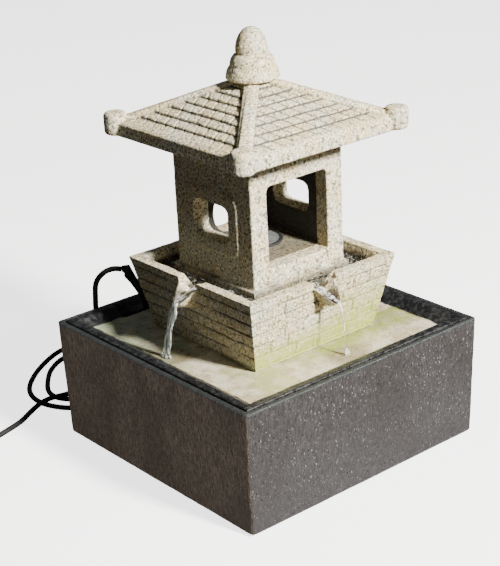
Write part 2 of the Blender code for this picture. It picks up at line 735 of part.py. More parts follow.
def make_finial():
    profile = [(0.0, FINIAL_TOP_Z)]
    steps = 8
    for i in range(1, steps + 1):
        angle = i / steps * pi / 2
        height = BULB_WIDE_Z + (FINIAL_TOP_Z - BULB_WIDE_Z) * cos(angle)
        profile.append((BULB_RADIUS * sin(angle), height))
    profile.append((BULB_RADIUS - RING_GROOVE / 2, BULB_BASE_Z))
    profile += leaning_ring(MIDDLE_RING_RADIUS, *MIDDLE_RING_Z)
    groove_z = (MIDDLE_RING_Z[0] + BASE_RING_Z[1]) / 2
    profile.append((MIDDLE_RING_RADIUS - RING_GROOVE, groove_z))
    profile += leaning_ring(BASE_RING_RADIUS, *BASE_RING_Z)
    profile += [(BASE_RING_RADIUS - RING_LEAN, FINIAL_BASE_Z), (0.0, FINIAL_BASE_Z)]
    turned("finial", profile, LANTERN_STONE, sides=32)


# ---------------------------------------------------------------- light ring and hose
def make_light_ring():
    turned(
        "light_ring_housing",
        [
            (RING_FLANGE_RADIUS, RING_FLANGE_Z[1]),
            (RING_FLANGE_RADIUS, RING_FLANGE_Z[0]),
            (RING_BODY_RADIUS, RING_FLANGE_Z[0]),
            (RING_BODY_RADIUS, RING_BASE_Z),
            (SPIGOT_RADIUS, RING_BASE_Z),
            (SPIGOT_RADIUS, SPIGOT_BASE_Z),
            (SPIGOT_BORE, SPIGOT_BASE_Z),
            (SPIGOT_BORE, OUTLET_TOP_Z),
            (GROOVE_RADII[0], OUTLET_TOP_Z),
            (GROOVE_RADII[0], GROOVE_Z),
            (GROOVE_RADII[1], GROOVE_Z),
            (GROOVE_RADII[1], RING_FLANGE_Z[1]),
        ],
        BLACK_PLASTIC, closed=True,
    )
    lens_low = RING_FLANGE_Z[1] - 0.0015
    inner = GROOVE_RADII[0] + GAP
    outer = GROOVE_RADII[1] - GAP
    turned(
        "light_ring_lens",
        [(outer, RING_FLANGE_Z[1]), (outer, lens_low), (inner, lens_low), (inner, RING_FLANGE_Z[1])],
        CLEAR_PLASTIC, closed=True,
    )
    for i in range(LED_COUNT):
        angle = (i + 0.5) / LED_COUNT * 2 * pi
        low = GROOVE_Z + GAP
        high = lens_low - GAP
        turned(
            f"led_{i + 1}",
            [
                (0.0, high), (LED_RADIUS * 0.5, high - 0.0003), (LED_RADIUS * 0.9, high - 0.0012),
                (LED_RADIUS, high - 0.0022), (LED_RADIUS, low), (0.0, low),
            ],
            LED_RESIN, sides=12, centre=(LED_CIRCLE * cos(angle), LED_CIRCLE * sin(angle)),
        )


def make_hose():
    turned(
        "feed_hose",
        [(HOSE_OUTER, HOSE_Z[1]), (HOSE_OUTER, HOSE_Z[0]), (HOSE_INNER, HOSE_Z[0]), (HOSE_INNER, HOSE_Z[1])],
        HOSE_VINYL, closed=True, sides=24,
    )


def make_light_leads():
    top = RING_BASE_Z - GAP
    split = CONNECTOR_SPLIT_Z
    upper_low = split + GAP
    tube(
        "light_lead_upper",
        [(0, LEAD_PASSAGE_Y, z) for z in (upper_low + CONNECTOR_LENGTH + GAP, 0.12, 0.15, top)],
        LEAD_RADIUS, BLACK_RUBBER,
    )
    cylinder(
        "lead_connector_plug", (0, LEAD_PASSAGE_Y), CONNECTOR_RADIUS, upper_low,
        upper_low + CONNECTOR_LENGTH, BLACK_PLASTIC, sides=16,
    )
    cylinder(
        "lead_connector_socket", (0, LEAD_PASSAGE_Y), CONNECTOR_RADIUS + 0.0005,
        split - CONNECTOR_LENGTH, split, BLACK_PLASTIC, sides=16,
    )


# ---------------------------------------------------------------- pump
def make_pump_housing():
    housing = block(
        "pump_housing", (PUMP_X[0], -PUMP_HALF_Y, PUMP_BASE_Z), (PUMP_X[1], PUMP_HALF_Y, PUMP_TOP_Z),
        BLACK_PLASTIC,
    )
    over = 0.001
    nozzle = cylinder(
        "pump_nozzle", (0, 0), SPIGOT_RADIUS, PUMP_TOP_Z - over, NOZZLE_TOP_Z, cutter=True, sides=24
    )
    join(housing, nozzle)
    front = PUMP_X[0]
    volute = rod_x(
        "pump_volute", front - over, front + VOLUTE_DEPTH, 0, PUMP_AXIS_Z, VOLUTE_RADIUS, cutter=True
    )
    bore = rod_x(
        "pump_rotor_bore", front + VOLUTE_DEPTH - over, front + PUMP_BORE_DEPTH + VOLUTE_DEPTH, 0,
        PUMP_AXIS_Z, PUMP_BORE, cutter=True,
    )
    cut(housing, volute)
    cut(housing, bore)
    outlet = cylinder(
        "pump_outlet_bore", (0, 0), NOZZLE_BORE, PUMP_AXIS_Z, NOZZLE_TOP_Z + over, cutter=True, sides=20
    )
    cut(housing, outlet)


def make_pump_cover():
    back = PUMP_X[0] - GAP
    front = back - COVER_DEPTH
    cover = block(
        "pump_cover", (front, -PUMP_HALF_Y, PUMP_BASE_Z), (back, PUMP_HALF_Y, PUMP_TOP_Z), BLACK_PLASTIC
    )
    inside = block(
        "cover_inside",
        (front + COVER_WALL, -PUMP_HALF_Y + COVER_WALL, PUMP_BASE_Z + COVER_WALL),
        (back + 0.001, PUMP_HALF_Y - COVER_WALL, PUMP_TOP_Z - COVER_WALL), cutter=True,
    )
    cut(cover, inside)
    pitch = 0.0042
    for i in range(GRILLE_SLOTS):
        z = PUMP_BASE_Z + 0.0045 + i * pitch
        slot = block(
            f"grille_slot_{i + 1}", (front - 0.001, -0.014, z), (front + COVER_WALL + 0.001, 0.014, z + 0.002),
            cutter=True,
        )
        cut(cover, slot)


def make_flow_dial():
    back = PUMP_X[0] - 2 * GAP - COVER_DEPTH
    depth = 0.0030
    dial = rod_x(
        "flow_dial", back - depth, back, DIAL_PLACE[0], DIAL_PLACE[1], DIAL_RADIUS, BLACK_PLASTIC, sides=24
    )
    rib = block(
        "dial_rib", (back - depth - 0.002, DIAL_PLACE[0] - 0.0008, DIAL_PLACE[1] - 0.0042),
        (back - depth + 0.0005, DIAL_PLACE[0] + 0.0008, DIAL_PLACE[1] + 0.0042), cutter=True,
    )
    join(dial, rib)


def make_rotor():
    front = PUMP_X[0]
    blade_low = front + 0.0010
    blade_high = blade_low + BLADE_LENGTH
    magnet_high = front + VOLUTE_DEPTH + MAGNET_LENGTH
    rotor = rod_x("pump_rotor", blade_low, magnet_high, 0, PUMP_AXIS_Z, MAGNET_RADIUS, MAGNET)
    for i in range(BLADE_COUNT):
        bm = bmesh.new()
        bmesh.ops.create_cube(bm, size=1.0)
        for vert in bm.verts:
            vert.co = Vector(
                (
                    blade_high if vert.co.x > 0 else blade_low,
                    BLADE_RADIUS if vert.co.y > 0 else BLADE_ROOT,
                    BLADE_HALF if vert.co.z > 0 else -BLADE_HALF,
                )
            )
        angle = i / BLADE_COUNT * 2 * pi + radians(10)
        bmesh.ops.rotate(bm, verts=bm.verts, matrix=Matrix.Rotation(angle, 3, "X"))
        blade = mesh_object(f"rotor_blade_{i + 1}", bm, cutter=True)
        blade.location = (0, 0, PUMP_AXIS_Z)
        join(rotor, blade)
    bore = rod_x(
        "rotor_bore", blade_low - 0.001, magnet_high + 0.001, 0, PUMP_AXIS_Z, ROTOR_BORE, cutter=True,
        sides=16,
    )
    cut(rotor, bore)
    rod_x(
        "rotor_shaft", front + 0.0003, front + VOLUTE_DEPTH + PUMP_BORE_DEPTH - GAP, 0, PUMP_AXIS_Z,
        SHAFT_RADIUS, CERAMIC, sides=16,
    )


def make_suction_cups():
    low = BOX_FLOOR_Z + GAP
    high = PUMP_BASE_Z - GAP
    places = ((-0.007, -0.012), (-0.007, 0.012), (0.027, -0.012), (0.027, 0.012))
    for i, centre in enumerate(places):
        turned(
            f"suction_cup_{i + 1}",
            [
                (0.0, high), (0.0032, high), (0.0032, high - 0.0030), (0.0042, high - 0.0045),
                (CUP_RADIUS, low + 0.0006), (CUP_RADIUS, low), (0.0, low),
            ],
            BLACK_RUBBER, sides=16, centre=centre,
        )


# ---------------------------------------------------------------- cords
def make_inner_leads():
    for name, route in (("pump_lead", PUMP_LEAD_ROUTE), ("light_lead_lower", LIGHT_LEAD_ROUTE)):
        tube(name, smooth_points(from_feed_line(route), 0.006), LEAD_RADIUS, BLACK_RUBBER)


def make_cord():
    points = smooth_points(CORD_ROUTE, CORD_STEP)
    tube("power_cord", points, CORD_RADIUS, BLACK_RUBBER)
    heading = (points[1] - points[0]).normalized()
    sleeve = [Vector(p) for p in SLEEVE_ROUTE]
    sleeve += [points[0] - heading * (GAP + SLEEVE_END), points[0] - heading * GAP]
    tube("cord_sleeve", sleeve, SLEEVE_RADII[0], BLACK_RUBBER, radii=SLEEVE_RADII, sides=3)
    inner = COIL_RADIUS - COIL_HALF_WIDTH
    outer = COIL_RADIUS + COIL_HALF_WIDTH
    turned(
        "power_cord_coil",
        [(outer, COIL_HEIGHT), (outer, 0), (inner, 0), (inner, COIL_HEIGHT)],
        BLACK_RUBBER, closed=True, sides=32, centre=COIL_CENTRE,
    )
    tube("power_cord_tail", [Vector(p) for p in CORD_TAIL], CORD_RADIUS, BLACK_RUBBER)


def make_plug():
    tube(
        "plug_strain_relief",
        [(PLUG_X, PLUG_Y[0] - GAP - d * RELIEF_LENGTH, PLUG_CORD_Z) for d in (1, 0.6, 0.2, 0)],
        0.0050, BLACK_RUBBER, radii=(0.0034, 0.0040, 0.0050, 0.0050), sides=3,
    )
    body = block(
        "plug_transformer", (PLUG_X - PLUG_HALF_WIDTH, PLUG_Y[0], 0),
        (PLUG_X + PLUG_HALF_WIDTH, PLUG_Y[1], PLUG_HEIGHT), BLACK_PLASTIC,
    )
    bevel = body.modifiers.new("soft_edges", "BEVEL")
    bevel.width = 0.003
    bevel.segments = 2
    for i, side in enumerate((-1, 1)):
        bm = bmesh.new()
        bmesh.ops.create_cone(
            bm, cap_ends=True, segments=16, radius1=PIN_RADIUS, radius2=PIN_RADIUS * 0.8, depth=PIN_LENGTH
        )
        bmesh.ops.rotate(bm, verts=bm.verts, matrix=Matrix.Rotation(-pi / 2, 3, "X"))
        pin = mesh_object(f"plug_pin_{i + 1}", bm, PIN_METAL)
        pin.location = (PLUG_X + side * PIN_PLACE, PLUG_Y[1] + GAP + PIN_LENGTH / 2, PLUG_HEIGHT / 2)


make_reservoir()
make_pads()
make_tray()
make_basin()
make_chamber_base()
make_chamber()
make_roof()
make_finial()
feed_line_makers = (
    make_light_ring, make_hose, make_light_leads, make_pump_housing, make_pump_cover,
    make_flow_dial, make_rotor, make_suction_cups,
)
for make in feed_line_makers:
    on_feed_line(make)
make_inner_leads()
make_cord()
make_plug()
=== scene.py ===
"""Looks of a table-top water fountain in the form of a stone pagoda lantern.

Everything is in metres in the frame's own axes: -Y is the doorway side of the lantern, -X a window
side and +Y the cord side. Cast-stone pieces are finer, sculpted copies of the frame's solids.
"""
import json
from itertools import product
from math import cos, pi, radians, sin

import bmesh
import bpy
import numpy as np
from mathutils import Matrix, Vector


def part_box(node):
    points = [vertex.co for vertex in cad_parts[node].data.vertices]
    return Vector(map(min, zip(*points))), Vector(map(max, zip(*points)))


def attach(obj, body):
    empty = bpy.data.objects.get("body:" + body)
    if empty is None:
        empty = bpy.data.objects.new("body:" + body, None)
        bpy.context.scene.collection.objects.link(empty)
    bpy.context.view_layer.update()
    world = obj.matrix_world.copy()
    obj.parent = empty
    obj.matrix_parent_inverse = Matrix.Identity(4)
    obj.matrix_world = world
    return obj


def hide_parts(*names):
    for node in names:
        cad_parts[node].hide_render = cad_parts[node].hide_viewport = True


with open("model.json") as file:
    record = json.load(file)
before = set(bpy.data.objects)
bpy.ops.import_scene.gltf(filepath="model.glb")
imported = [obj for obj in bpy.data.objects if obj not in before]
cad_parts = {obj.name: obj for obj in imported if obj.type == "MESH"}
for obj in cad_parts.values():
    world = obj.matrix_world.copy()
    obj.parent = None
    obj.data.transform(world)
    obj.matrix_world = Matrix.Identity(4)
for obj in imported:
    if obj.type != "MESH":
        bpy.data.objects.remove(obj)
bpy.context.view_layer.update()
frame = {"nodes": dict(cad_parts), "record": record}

BODY_OF = {
    node: body
    for body, nodes in frame["record"]["behaviour"]["bodies"].items()
    for node in nodes
}

# ---------------------------------------------------------------- camera
CAMERA_PLACE = Vector((-0.76817, -0.92195, 0.63178))
CAMERA_TURN = radians(-39.30)
CAMERA_LIFT = radians(22.10)
CAMERA_ROLL = radians(-2.81)
CAMERA_LENS = 95.76


def make_camera():
    data = bpy.data.cameras.new("camera")
    data.lens = CAMERA_LENS
    camera = bpy.data.objects.new("camera", data)
    bpy.context.scene.collection.objects.link(camera)
    back = Vector((
        sin(CAMERA_TURN) * cos(CAMERA_LIFT), -cos(CAMERA_TURN) * cos(CAMERA_LIFT), sin(CAMERA_LIFT)
    ))
    right = (-back).cross(Vector((0, 0, 1))).normalized()
    up = back.cross(right)
    axes = Matrix((right, up, back)).transposed() @ Matrix.Rotation(CAMERA_ROLL, 3, "Z")
    camera.matrix_world = Matrix.Translation(CAMERA_PLACE) @ axes.to_4x4()
    bpy.context.scene.camera = camera


make_camera()

# ---------------------------------------------------------------- cord
CORD_RADIUS = 0.0025
REST_Z = CORD_RADIUS + 0.0001
CORD_ROUTE = (
    (-0.0615, 0.1220, 0.1416),
    (-0.0670, 0.1251, 0.1427),
    (-0.0725, 0.1282, 0.1416),
    (-0.0773, 0.1309, 0.1384),
    (-0.0809, 0.1330, 0.1335),
    (-0.0829, 0.1340, 0.1274),
    (-0.0836, 0.1346, 0.1150),
    (-0.0838, 0.1350, 0.1080),
    (-0.0834, 0.1352, 0.0900),
    (-0.0833, 0.1354, 0.0690),
    (-0.0838, 0.1362, 0.0480),
    (-0.0856, 0.1390, 0.0290),
    (-0.0900, 0.1452, 0.0140),
    (-0.0972, 0.1555, 0.0054),
    (-0.1070, 0.1690, REST_Z),
    (-0.1160, 0.1900, REST_Z),
    (-0.1145, 0.2130, REST_Z),
    (-0.1020, 0.2350, REST_Z),
    (-0.0740, 0.2600, REST_Z),
    (-0.0380, 0.2790, REST_Z),
    (-0.0050, 0.2780, REST_Z),
    (0.0200, 0.2600, REST_Z),
    (0.0270, 0.2300, REST_Z),
    (0.0160, 0.1990, REST_Z),
    (-0.0100, 0.1765, REST_Z),
    (-0.0450, 0.1660, REST_Z),
    (-0.0780, 0.1700, REST_Z),
    (-0.0975, 0.1860, REST_Z),
    (-0.0985, 0.2070, REST_Z),
    (-0.0840, 0.2310, REST_Z),
    (-0.0665, 0.2500, REST_Z),
    (-0.0440, 0.2620, REST_Z),
    (-0.0150, 0.2610, REST_Z),
    (0.0050, 0.2450, REST_Z),
    (0.0090, 0.2200, REST_Z),
    (-0.0040, 0.1970, REST_Z),
    (-0.0280, 0.1840, 0.0034),
    (-0.0540, 0.1790, 0.0062),
    (-0.0800, 0.1780, 0.0088),
    (-0.0980, 0.1800, 0.0092),
    (-0.1130, 0.1835, 0.0090),
    (-0.1240, 0.1850, 0.0062),
    (-0.1370, 0.1815, 0.0033),
    (-0.1510, 0.1740, REST_Z),
    (-0.1700, 0.1675, REST_Z),
    (-0.1939, 0.1612, REST_Z),
)
COIL_CENTRE = Vector((-0.2190, 0.1860))
COIL_TURNS = ((0.0301, REST_Z), (0.0249, REST_Z), (0.0249, 0.0078), (0.0301, 0.0078))
COIL_START = radians(-76.1)     # where the cord meets the first turn
COIL_LEFT_OVER = 0.289          # the part of a turn after the whole ones
COIL_SHIFT = 0.75               # how far round a turn the cord moves over to the next one
TURN_POINTS = 20
STRETCH_POINTS = 4
CORD_TAIL = ((-0.2491, 0.2050, 0.0078), (-0.2491, 0.2194, 0.0078))


def coil_points():
    """The stored turns, clockwise from above: two on the ground, then two on top of them."""
    points = []
    steps = round(TURN_POINTS * (len(COIL_TURNS) + COIL_LEFT_OVER))
    for step in range(1, steps + 1):
        turns = step / TURN_POINTS
        stage = min(turns, len(COIL_TURNS) - 0.001)
        lower = COIL_TURNS[int(stage)]
        upper = COIL_TURNS[min(int(stage) + 1, len(COIL_TURNS) - 1)]
        share = max(0.0, (stage % 1 - COIL_SHIFT) / (1 - COIL_SHIFT))
        share = share * share * (3 - 2 * share)
        radius = lower[0] + (upper[0] - lower[0]) * share
        angle = COIL_START - turns * 2 * pi
        points.append((
            COIL_CENTRE.x + radius * cos(angle),
            COIL_CENTRE.y + radius * sin(angle),
            lower[1] + (upper[1] - lower[1]) * share,
        ))
    return points


def smooth_line(route, pieces):
    """Points on one smooth curve through the route's own points, `pieces` to each stretch."""
    knots = [Vector(p) for p in route]
    ends = [2 * knots[0] - knots[1], *knots, 2 * knots[-1] - knots[-2]]
    line = []
    for a, b, c, d in zip(ends, ends[1:], ends[2:], ends[3:]):
        for t in (i / pieces for i in range(pieces)):
            line.append(
                0.5 * (
                    2 * b + (c - a) * t + (2 * a - 5 * b + 4 * c - d) * t * t
                    + (3 * b - a - 3 * c + d) * t ** 3
                )
            )
    return [*line, knots[-1]]


def make_cord():
    """The whole cord as a tube, and the line that its middle follows."""
    data = bpy.data.curves.new("power_cord_whole", "CURVE")
    data.dimensions = "3D"
    data.bevel_depth = CORD_RADIUS
    data.bevel_resolution = 5
    data.use_fill_caps = True
    line = smooth_line([*CORD_ROUTE, *coil_points(), *CORD_TAIL], STRETCH_POINTS)
    spline = data.splines.new("POLY")
    spline.points.add(len(line) - 1)
    for point, place in zip(spline.points, line):
        point.co = (*place, 1.0)
    spline.use_smooth = True
    tube = bpy.data.objects.new("power_cord_curve", data)
    bpy.context.scene.collection.objects.link(tube)
    mesh = bpy.data.meshes.new_from_object(
        tube.evaluated_get(bpy.context.evaluated_depsgraph_get())
    )
    bpy.data.objects.remove(tube)
    cord = bpy.data.objects.new("power_cord_whole", mesh)
    bpy.context.scene.collection.objects.link(cord)
    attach(cord, "base")
    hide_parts("power_cord", "power_cord_coil", "power_cord_tail")
    return cord, line


cord, cord_line = make_cord()

# ---------------------------------------------------------------- stage and light
KEY_TRAVEL = Vector((-0.10, 0.84, -0.55))
KEY_AIM = Vector((0.0, 0.0, 0.15))
KEY_DISTANCE = 2.2
KEY_SIZE = 0.30
KEY_POWER = 205.0
KEY_TINT = (1.0, 0.965, 0.90)
FILL_TINT = (0.93, 0.97, 1.0, 1)
FILL_STRENGTH = 0.085
SKY_STRENGTH = 3.0              # as the camera sees it
FLOOR_HALF = 6.0
FLOOR_TONE = (0.92, 0.92, 0.92, 1)
FLOOR_GLOW = 2.6                # as the camera sees it
FLOOR_BOUNCE = (0.06, 0.06, 0.06, 1)
WHITE = (1, 1, 1, 1)
SIDE_PLACE = Vector((-1.10, -0.10, 0.35))
SIDE_SIZE = 0.8
SIDE_POWER = 8.5


def make_stage():
    bm = bmesh.new()
    bmesh.ops.create_grid(bm, x_segments=2, y_segments=2, size=FLOOR_HALF)
    mesh = bpy.data.meshes.new("floor")
    bm.to_mesh(mesh)
    bm.free()
    floor = bpy.data.objects.new("floor", mesh)
    bpy.context.scene.collection.objects.link(floor)
    floor.data.materials.append(make_floor_finish())


def make_floor_finish():
    """Pale to look at, and duller in the light that it throws back on the object."""
    made = bpy.data.materials.new("floor_paper")
    made.use_nodes = True
    tree = made.node_tree
    shader = tree.nodes["Principled BSDF"]
    shader.inputs["Base Color"].default_value = FLOOR_TONE
    shader.inputs["Roughness"].default_value = 0.9
    shader.inputs["Emission Color"].default_value = WHITE
    shader.inputs["Emission Strength"].default_value = FLOOR_GLOW
    dull = tree.nodes.new("ShaderNodeBsdfDiffuse")
    dull.inputs["Color"].default_value = FLOOR_BOUNCE
    path = tree.nodes.new("ShaderNodeLightPath")
    mix = tree.nodes.new("ShaderNodeMixShader")
    tree.links.new(path.outputs["Is Camera Ray"], mix.inputs["Fac"])
    tree.links.new(dull.outputs[0], mix.inputs[1])
    tree.links.new(shader.outputs[0], mix.inputs[2])
    tree.links.new(mix.outputs[0], tree.nodes["Material Output"].inputs["Surface"])
    return made


def make_light():
    """One warm lamp, a faint cool fill from all round, and a white sky for the camera alone."""
    data = bpy.data.lights.new("key", "AREA")
    data.shape = "DISK"
    data.size = KEY_SIZE
    data.energy = KEY_POWER
    data.color = KEY_TINT
    key = bpy.data.objects.new("key", data)
    key.location = KEY_AIM - KEY_TRAVEL.normalized() * KEY_DISTANCE
    key.rotation_euler = KEY_TRAVEL.to_track_quat("-Z", "Y").to_euler()
    bpy.context.scene.collection.objects.link(key)
    world = bpy.data.worlds.new("studio")
    world.use_nodes = True
    bpy.context.scene.world = world
    tree = world.node_tree
    sky = tree.nodes["Background"]
    sky.inputs["Color"].default_value = FILL_TINT
    sky.inputs["Strength"].default_value = FILL_STRENGTH
    wall = tree.nodes.new("ShaderNodeBackground")
    wall.inputs["Color"].default_value = WHITE
    wall.inputs["Strength"].default_value = SKY_STRENGTH
    path = tree.nodes.new("ShaderNodeLightPath")
    mix = tree.nodes.new("ShaderNodeMixShader")
    tree.links.new(path.outputs["Is Camera Ray"], mix.inputs["Fac"])
    tree.links.new(sky.outputs[0], mix.inputs[1])
    tree.links.new(wall.outputs[0], mix.inputs[2])
    tree.links.new(mix.outputs[0], tree.nodes["World Output"].inputs["Surface"])


def light_only(light, *pieces):
    """A soft light that falls on these pieces alone."""
    group = bpy.data.collections.new(f"{light.name}_receivers")
    for piece in pieces:
        group.objects.link(piece)
    light.light_linking.receiver_collection = group


def make_side_light(piece):
    """A soft light on the piece's -X side, which falls on nothing else."""
    data = bpy.data.lights.new("side_fill", "AREA")
    data.size = SIDE_SIZE
    data.energy = SIDE_POWER
    side = bpy.data.objects.new("side_fill", data)
    side.location = SIDE_PLACE
    side.rotation_euler = (KEY_AIM - SIDE_PLACE).to_track_quat("-Z", "Y").to_euler()
    bpy.context.scene.collection.objects.link(side)
    light_only(side, piece)


make_stage()
make_light()


# ---------------------------------------------------------------- material helpers
class Finish:
    """A procedural material in the object's own coordinates, in metres."""

    def __init__(self, name, roughness=0.5):
        self.material = bpy.data.materials.new(name)
        self.material.use_nodes = True
        self.tree = self.material.node_tree
        self.shader = self.tree.nodes["Principled BSDF"]
        self.shader.inputs["Roughness"].default_value = roughness
        self.place = self.add("ShaderNodeTexCoord").outputs["Object"]

    def add(self, kind, inputs=None, **settings):
        made = self.tree.nodes.new(kind)
        for name, value in settings.items():
            setattr(made, name, value)
        for name, value in (inputs or {}).items():
            self.feed(made.inputs[name], value)
        return made

    def feed(self, socket, value):
        if isinstance(value, bpy.types.NodeSocket):
            self.tree.links.new(value, socket)
        elif isinstance(value, tuple) and len(value) == 3 and socket.type == "RGBA":
            socket.default_value = (*value, 1.0)
        else:
            socket.default_value = value

    def stretched(self, x, y, z):
        """The place, scaled along each axis."""
        inputs = {"Vector": self.place, "Scale": (x, y, z)}
        return self.add("ShaderNodeMapping", inputs).outputs["Vector"]

    def noise(self, size, detail=3.0, place=None, rough=0.6):
        """Random values with features of about `size` metres."""
        inputs = {
            "Vector": place or self.place, "Scale": 1.0 / size, "Detail": detail, "Roughness": rough,
        }
        return self.add("ShaderNodeTexNoise", inputs).outputs["Fac"]

    def cells(self, size, place=None):
        """Distance from the nearest of scattered points about `size` metres apart, in sizes."""
        inputs = {"Vector": place or self.place, "Scale": 1.0 / size}
        return self.add("ShaderNodeTexVoronoi", inputs).outputs["Distance"]

    def step(self, value, low, high, to_low=0.0, to_high=1.0):
        inputs = {
            "Value": value, "From Min": low, "From Max": high, "To Min": to_low, "To Max": to_high,
        }
        made = self.add("ShaderNodeMapRange", inputs, interpolation_type="SMOOTHSTEP")
        return made.outputs["Result"]

    def maths(self, operation, a, b=0.0):
        made = self.add("ShaderNodeMath", operation=operation)
        self.feed(made.inputs[0], a)
        self.feed(made.inputs[1], b)
        return made.outputs["Value"]

    def mix(self, share, a, b, blend="MIX"):
        made = self.add("ShaderNodeMix", data_type="RGBA", blend_type=blend)
        self.feed(made.inputs[0], share)
        self.feed(made.inputs[6], a)
        self.feed(made.inputs[7], b)
        return made.outputs[2]

    def mask(self, name):
        """A value that the sculpting wrote on the mesh, from 0 to 1."""
        made = self.add("ShaderNodeAttribute", attribute_name=name)
        return made.outputs["Fac"]

    def axis(self, name):
        return self.add("ShaderNodeSeparateXYZ", {"Vector": self.place}).outputs[name]

    def bump(self, height, distance, strength=1.0):
        inputs = {"Height": height, "Distance": distance, "Strength": strength}
        if self.shader.inputs["Normal"].is_linked:
            inputs["Normal"] = self.shader.inputs["Normal"].links[0].from_socket
        made = self.add("ShaderNodeBump", inputs)
        self.feed(self.shader.inputs["Normal"], made.outputs["Normal"])

    def set(self, **values):
        for name, value in values.items():
            self.feed(self.shader.inputs[name.replace("_", " ")], value)


# ---------------------------------------------------------------- materials
STONE_TAN = (0.61, 0.49, 0.26)
STONE_SAND = (0.58, 0.54, 0.40)
STONE_PALE_GRAIN = (0.94, 0.90, 0.69)
STONE_DARK_GRAIN = (0.11, 0.09, 0.06)
STONE_BLUE_CLOUD = (0.42, 0.45, 0.50)
STONE_GROOVE_AND_SHADE = (0.035, 0.030, 0.028)
STONE_MOSS = (0.34, 0.39, 0.07)
STONE_WET = (0.15, 0.14, 0.13)      # a share of the dry colour
STONE_ROOM_SHADE = (0.060, 0.062, 0.075)  # painted shade on the room's walls, a share of the unshaded colour


def lantern_stone():
    """Granite-look cast stone: tan and grey, speckled, with dark grooves, wet and mossy places, and
    painted shade in and beside its grooves, on its -X faces and on the room's walls.
    """
    f = Finish("speckled_cast_stone")
    drift = f.step(f.noise(0.030, 3), 0.40, 0.62)
    colour = f.mix(drift, STONE_TAN, STONE_SAND)
    pale = f.step(f.noise(0.0018, 2), 0.50, 0.60)
    colour = f.mix(pale, colour, STONE_PALE_GRAIN)
    dark = f.step(f.noise(0.0021, 3, f.stretched(1.0, 1.07, 0.93)), 0.48, 0.39, 0.0, 0.88)
    colour = f.mix(dark, colour, STONE_DARK_GRAIN)
    blue = f.step(f.noise(0.012, 3, f.stretched(1.3, 1.1, 1.2)), 0.56, 0.70, 0.0, 0.35)
    colour = f.mix(blue, colour, STONE_BLUE_CLOUD)
    # the groove mask: dark joints, and painted shadow under the roof's tile laps and beside its hips
    colour = f.mix(f.mask("groove"), colour, STONE_GROOVE_AND_SHADE)
    moss = f.maths("MULTIPLY", f.mask("moss"), f.step(f.noise(0.006, 4), 0.35, 0.60, 0.60, 1.0))
    colour = f.mix(moss, colour, STONE_MOSS)
    # the wet mask is real wetness, and on the -X faces of the basin and chamber painted shade
    wet = f.mask("wet")
    colour = f.mix(wet, colour, f.mix(1.0, colour, STONE_WET, "MULTIPLY"))
    # painted shade: the walls of the room inside the chamber are darkened and tinted blue
    colour = f.mix(f.mask("soot"), colour, f.mix(1.0, colour, STONE_ROOM_SHADE, "MULTIPLY"))
    f.set(Base_Color=colour, Roughness=f.step(wet, 0.0, 1.0, 0.85, 0.20))
    f.bump(f.noise(0.0010, 3), 0.0005, 0.8)
    f.bump(f.noise(0.0050, 3), 0.0008, 0.4)
    return f.material


TRAY_BROWN = (0.46, 0.39, 0.24)
TRAY_SAND = (0.68, 0.62, 0.47)
TRAY_DARK_GRIT = (0.16, 0.13, 0.09)
TRAY_PALE_GRIT = (0.82, 0.78, 0.68)
TRAY_SCRATCH = (0.20, 0.17, 0.12)
TRAY_MOSS = (0.36, 0.42, 0.10)
TRAY_STAIN = (0.400, 0.480, 0.320)
TRAY_WET = (0.50, 0.47, 0.42)       # a share of the dry colour
RIM_DARK = (0.008, 0.008, 0.009)
RIM_WORN = (0.030, 0.033, 0.035)


def tray_stone():
    """Sandy cast stone inside a black rim: damp greenish stains, moss and fine scratches."""
    f = Finish("tray_stone")
    colour = f.mix(f.step(f.noise(0.016, 5), 0.40, 0.60), TRAY_BROWN, TRAY_SAND)
    grit = f.step(f.noise(0.0010, 2), 0.46, 0.36, 0.0, 0.55)
    colour = f.mix(grit, colour, TRAY_DARK_GRIT)
    colour = f.mix(f.step(f.noise(0.0008, 2), 0.56, 0.68, 0.0, 0.5), colour, TRAY_PALE_GRIT)
    scratch = f.noise(0.0016, 3, f.stretched(1.0, 0.12, 1.0))
    colour = f.mix(f.step(scratch, 0.36, 0.30, 0.0, 0.35), colour, TRAY_SCRATCH)
    patch = f.step(f.noise(0.010, 4), 0.36, 0.62, 0.25, 1.0)
    colour = f.mix(f.maths("MULTIPLY", f.mask("moss"), patch), colour, TRAY_MOSS)
    colour = f.mix(f.maths("MULTIPLY", f.mask("damp"), patch), colour, TRAY_STAIN)
    wet = f.mask("wet")
    colour = f.mix(wet, colour, f.mix(1.0, colour, TRAY_WET, "MULTIPLY"))
    rim = f.mix(f.step(f.noise(0.004, 4), 0.42, 0.70), RIM_DARK, RIM_WORN)
    colour = f.mix(f.mask("rim"), colour, rim)
    gloss = f.step(f.noise(0.008, 3), 0.35, 0.65, 0.25, 0.60)
    f.set(Base_Color=colour, Roughness=gloss)
    f.bump(f.noise(0.0010, 3), 0.0004, 0.7)
    f.bump(scratch, 0.0003, 0.4)
    return f.material


# each pair of the box's colours: most sides, then the -X side, where painted light makes them
# lighter and browner
BOX_BASE = ((0.032, 0.029, 0.030), (0.050, 0.036, 0.026))
BOX_GRAIN = ((0.057, 0.054, 0.055), (0.125, 0.095, 0.070))
BOX_FLECK = ((0.42, 0.42, 0.45), (0.26, 0.22, 0.18))
BOX_STAIN = ((0.030, 0.026, 0.025), (0.030, 0.021, 0.014))
BOX_FOOT = ((0.095, 0.095, 0.100), (0.110, 0.090, 0.070))
BOX_FOOT_Z = (0.105, 0.010)
BOX_PIT = (0.012, 0.009, 0.008)
BOX_RIM = (0.022, 0.026, 0.026)


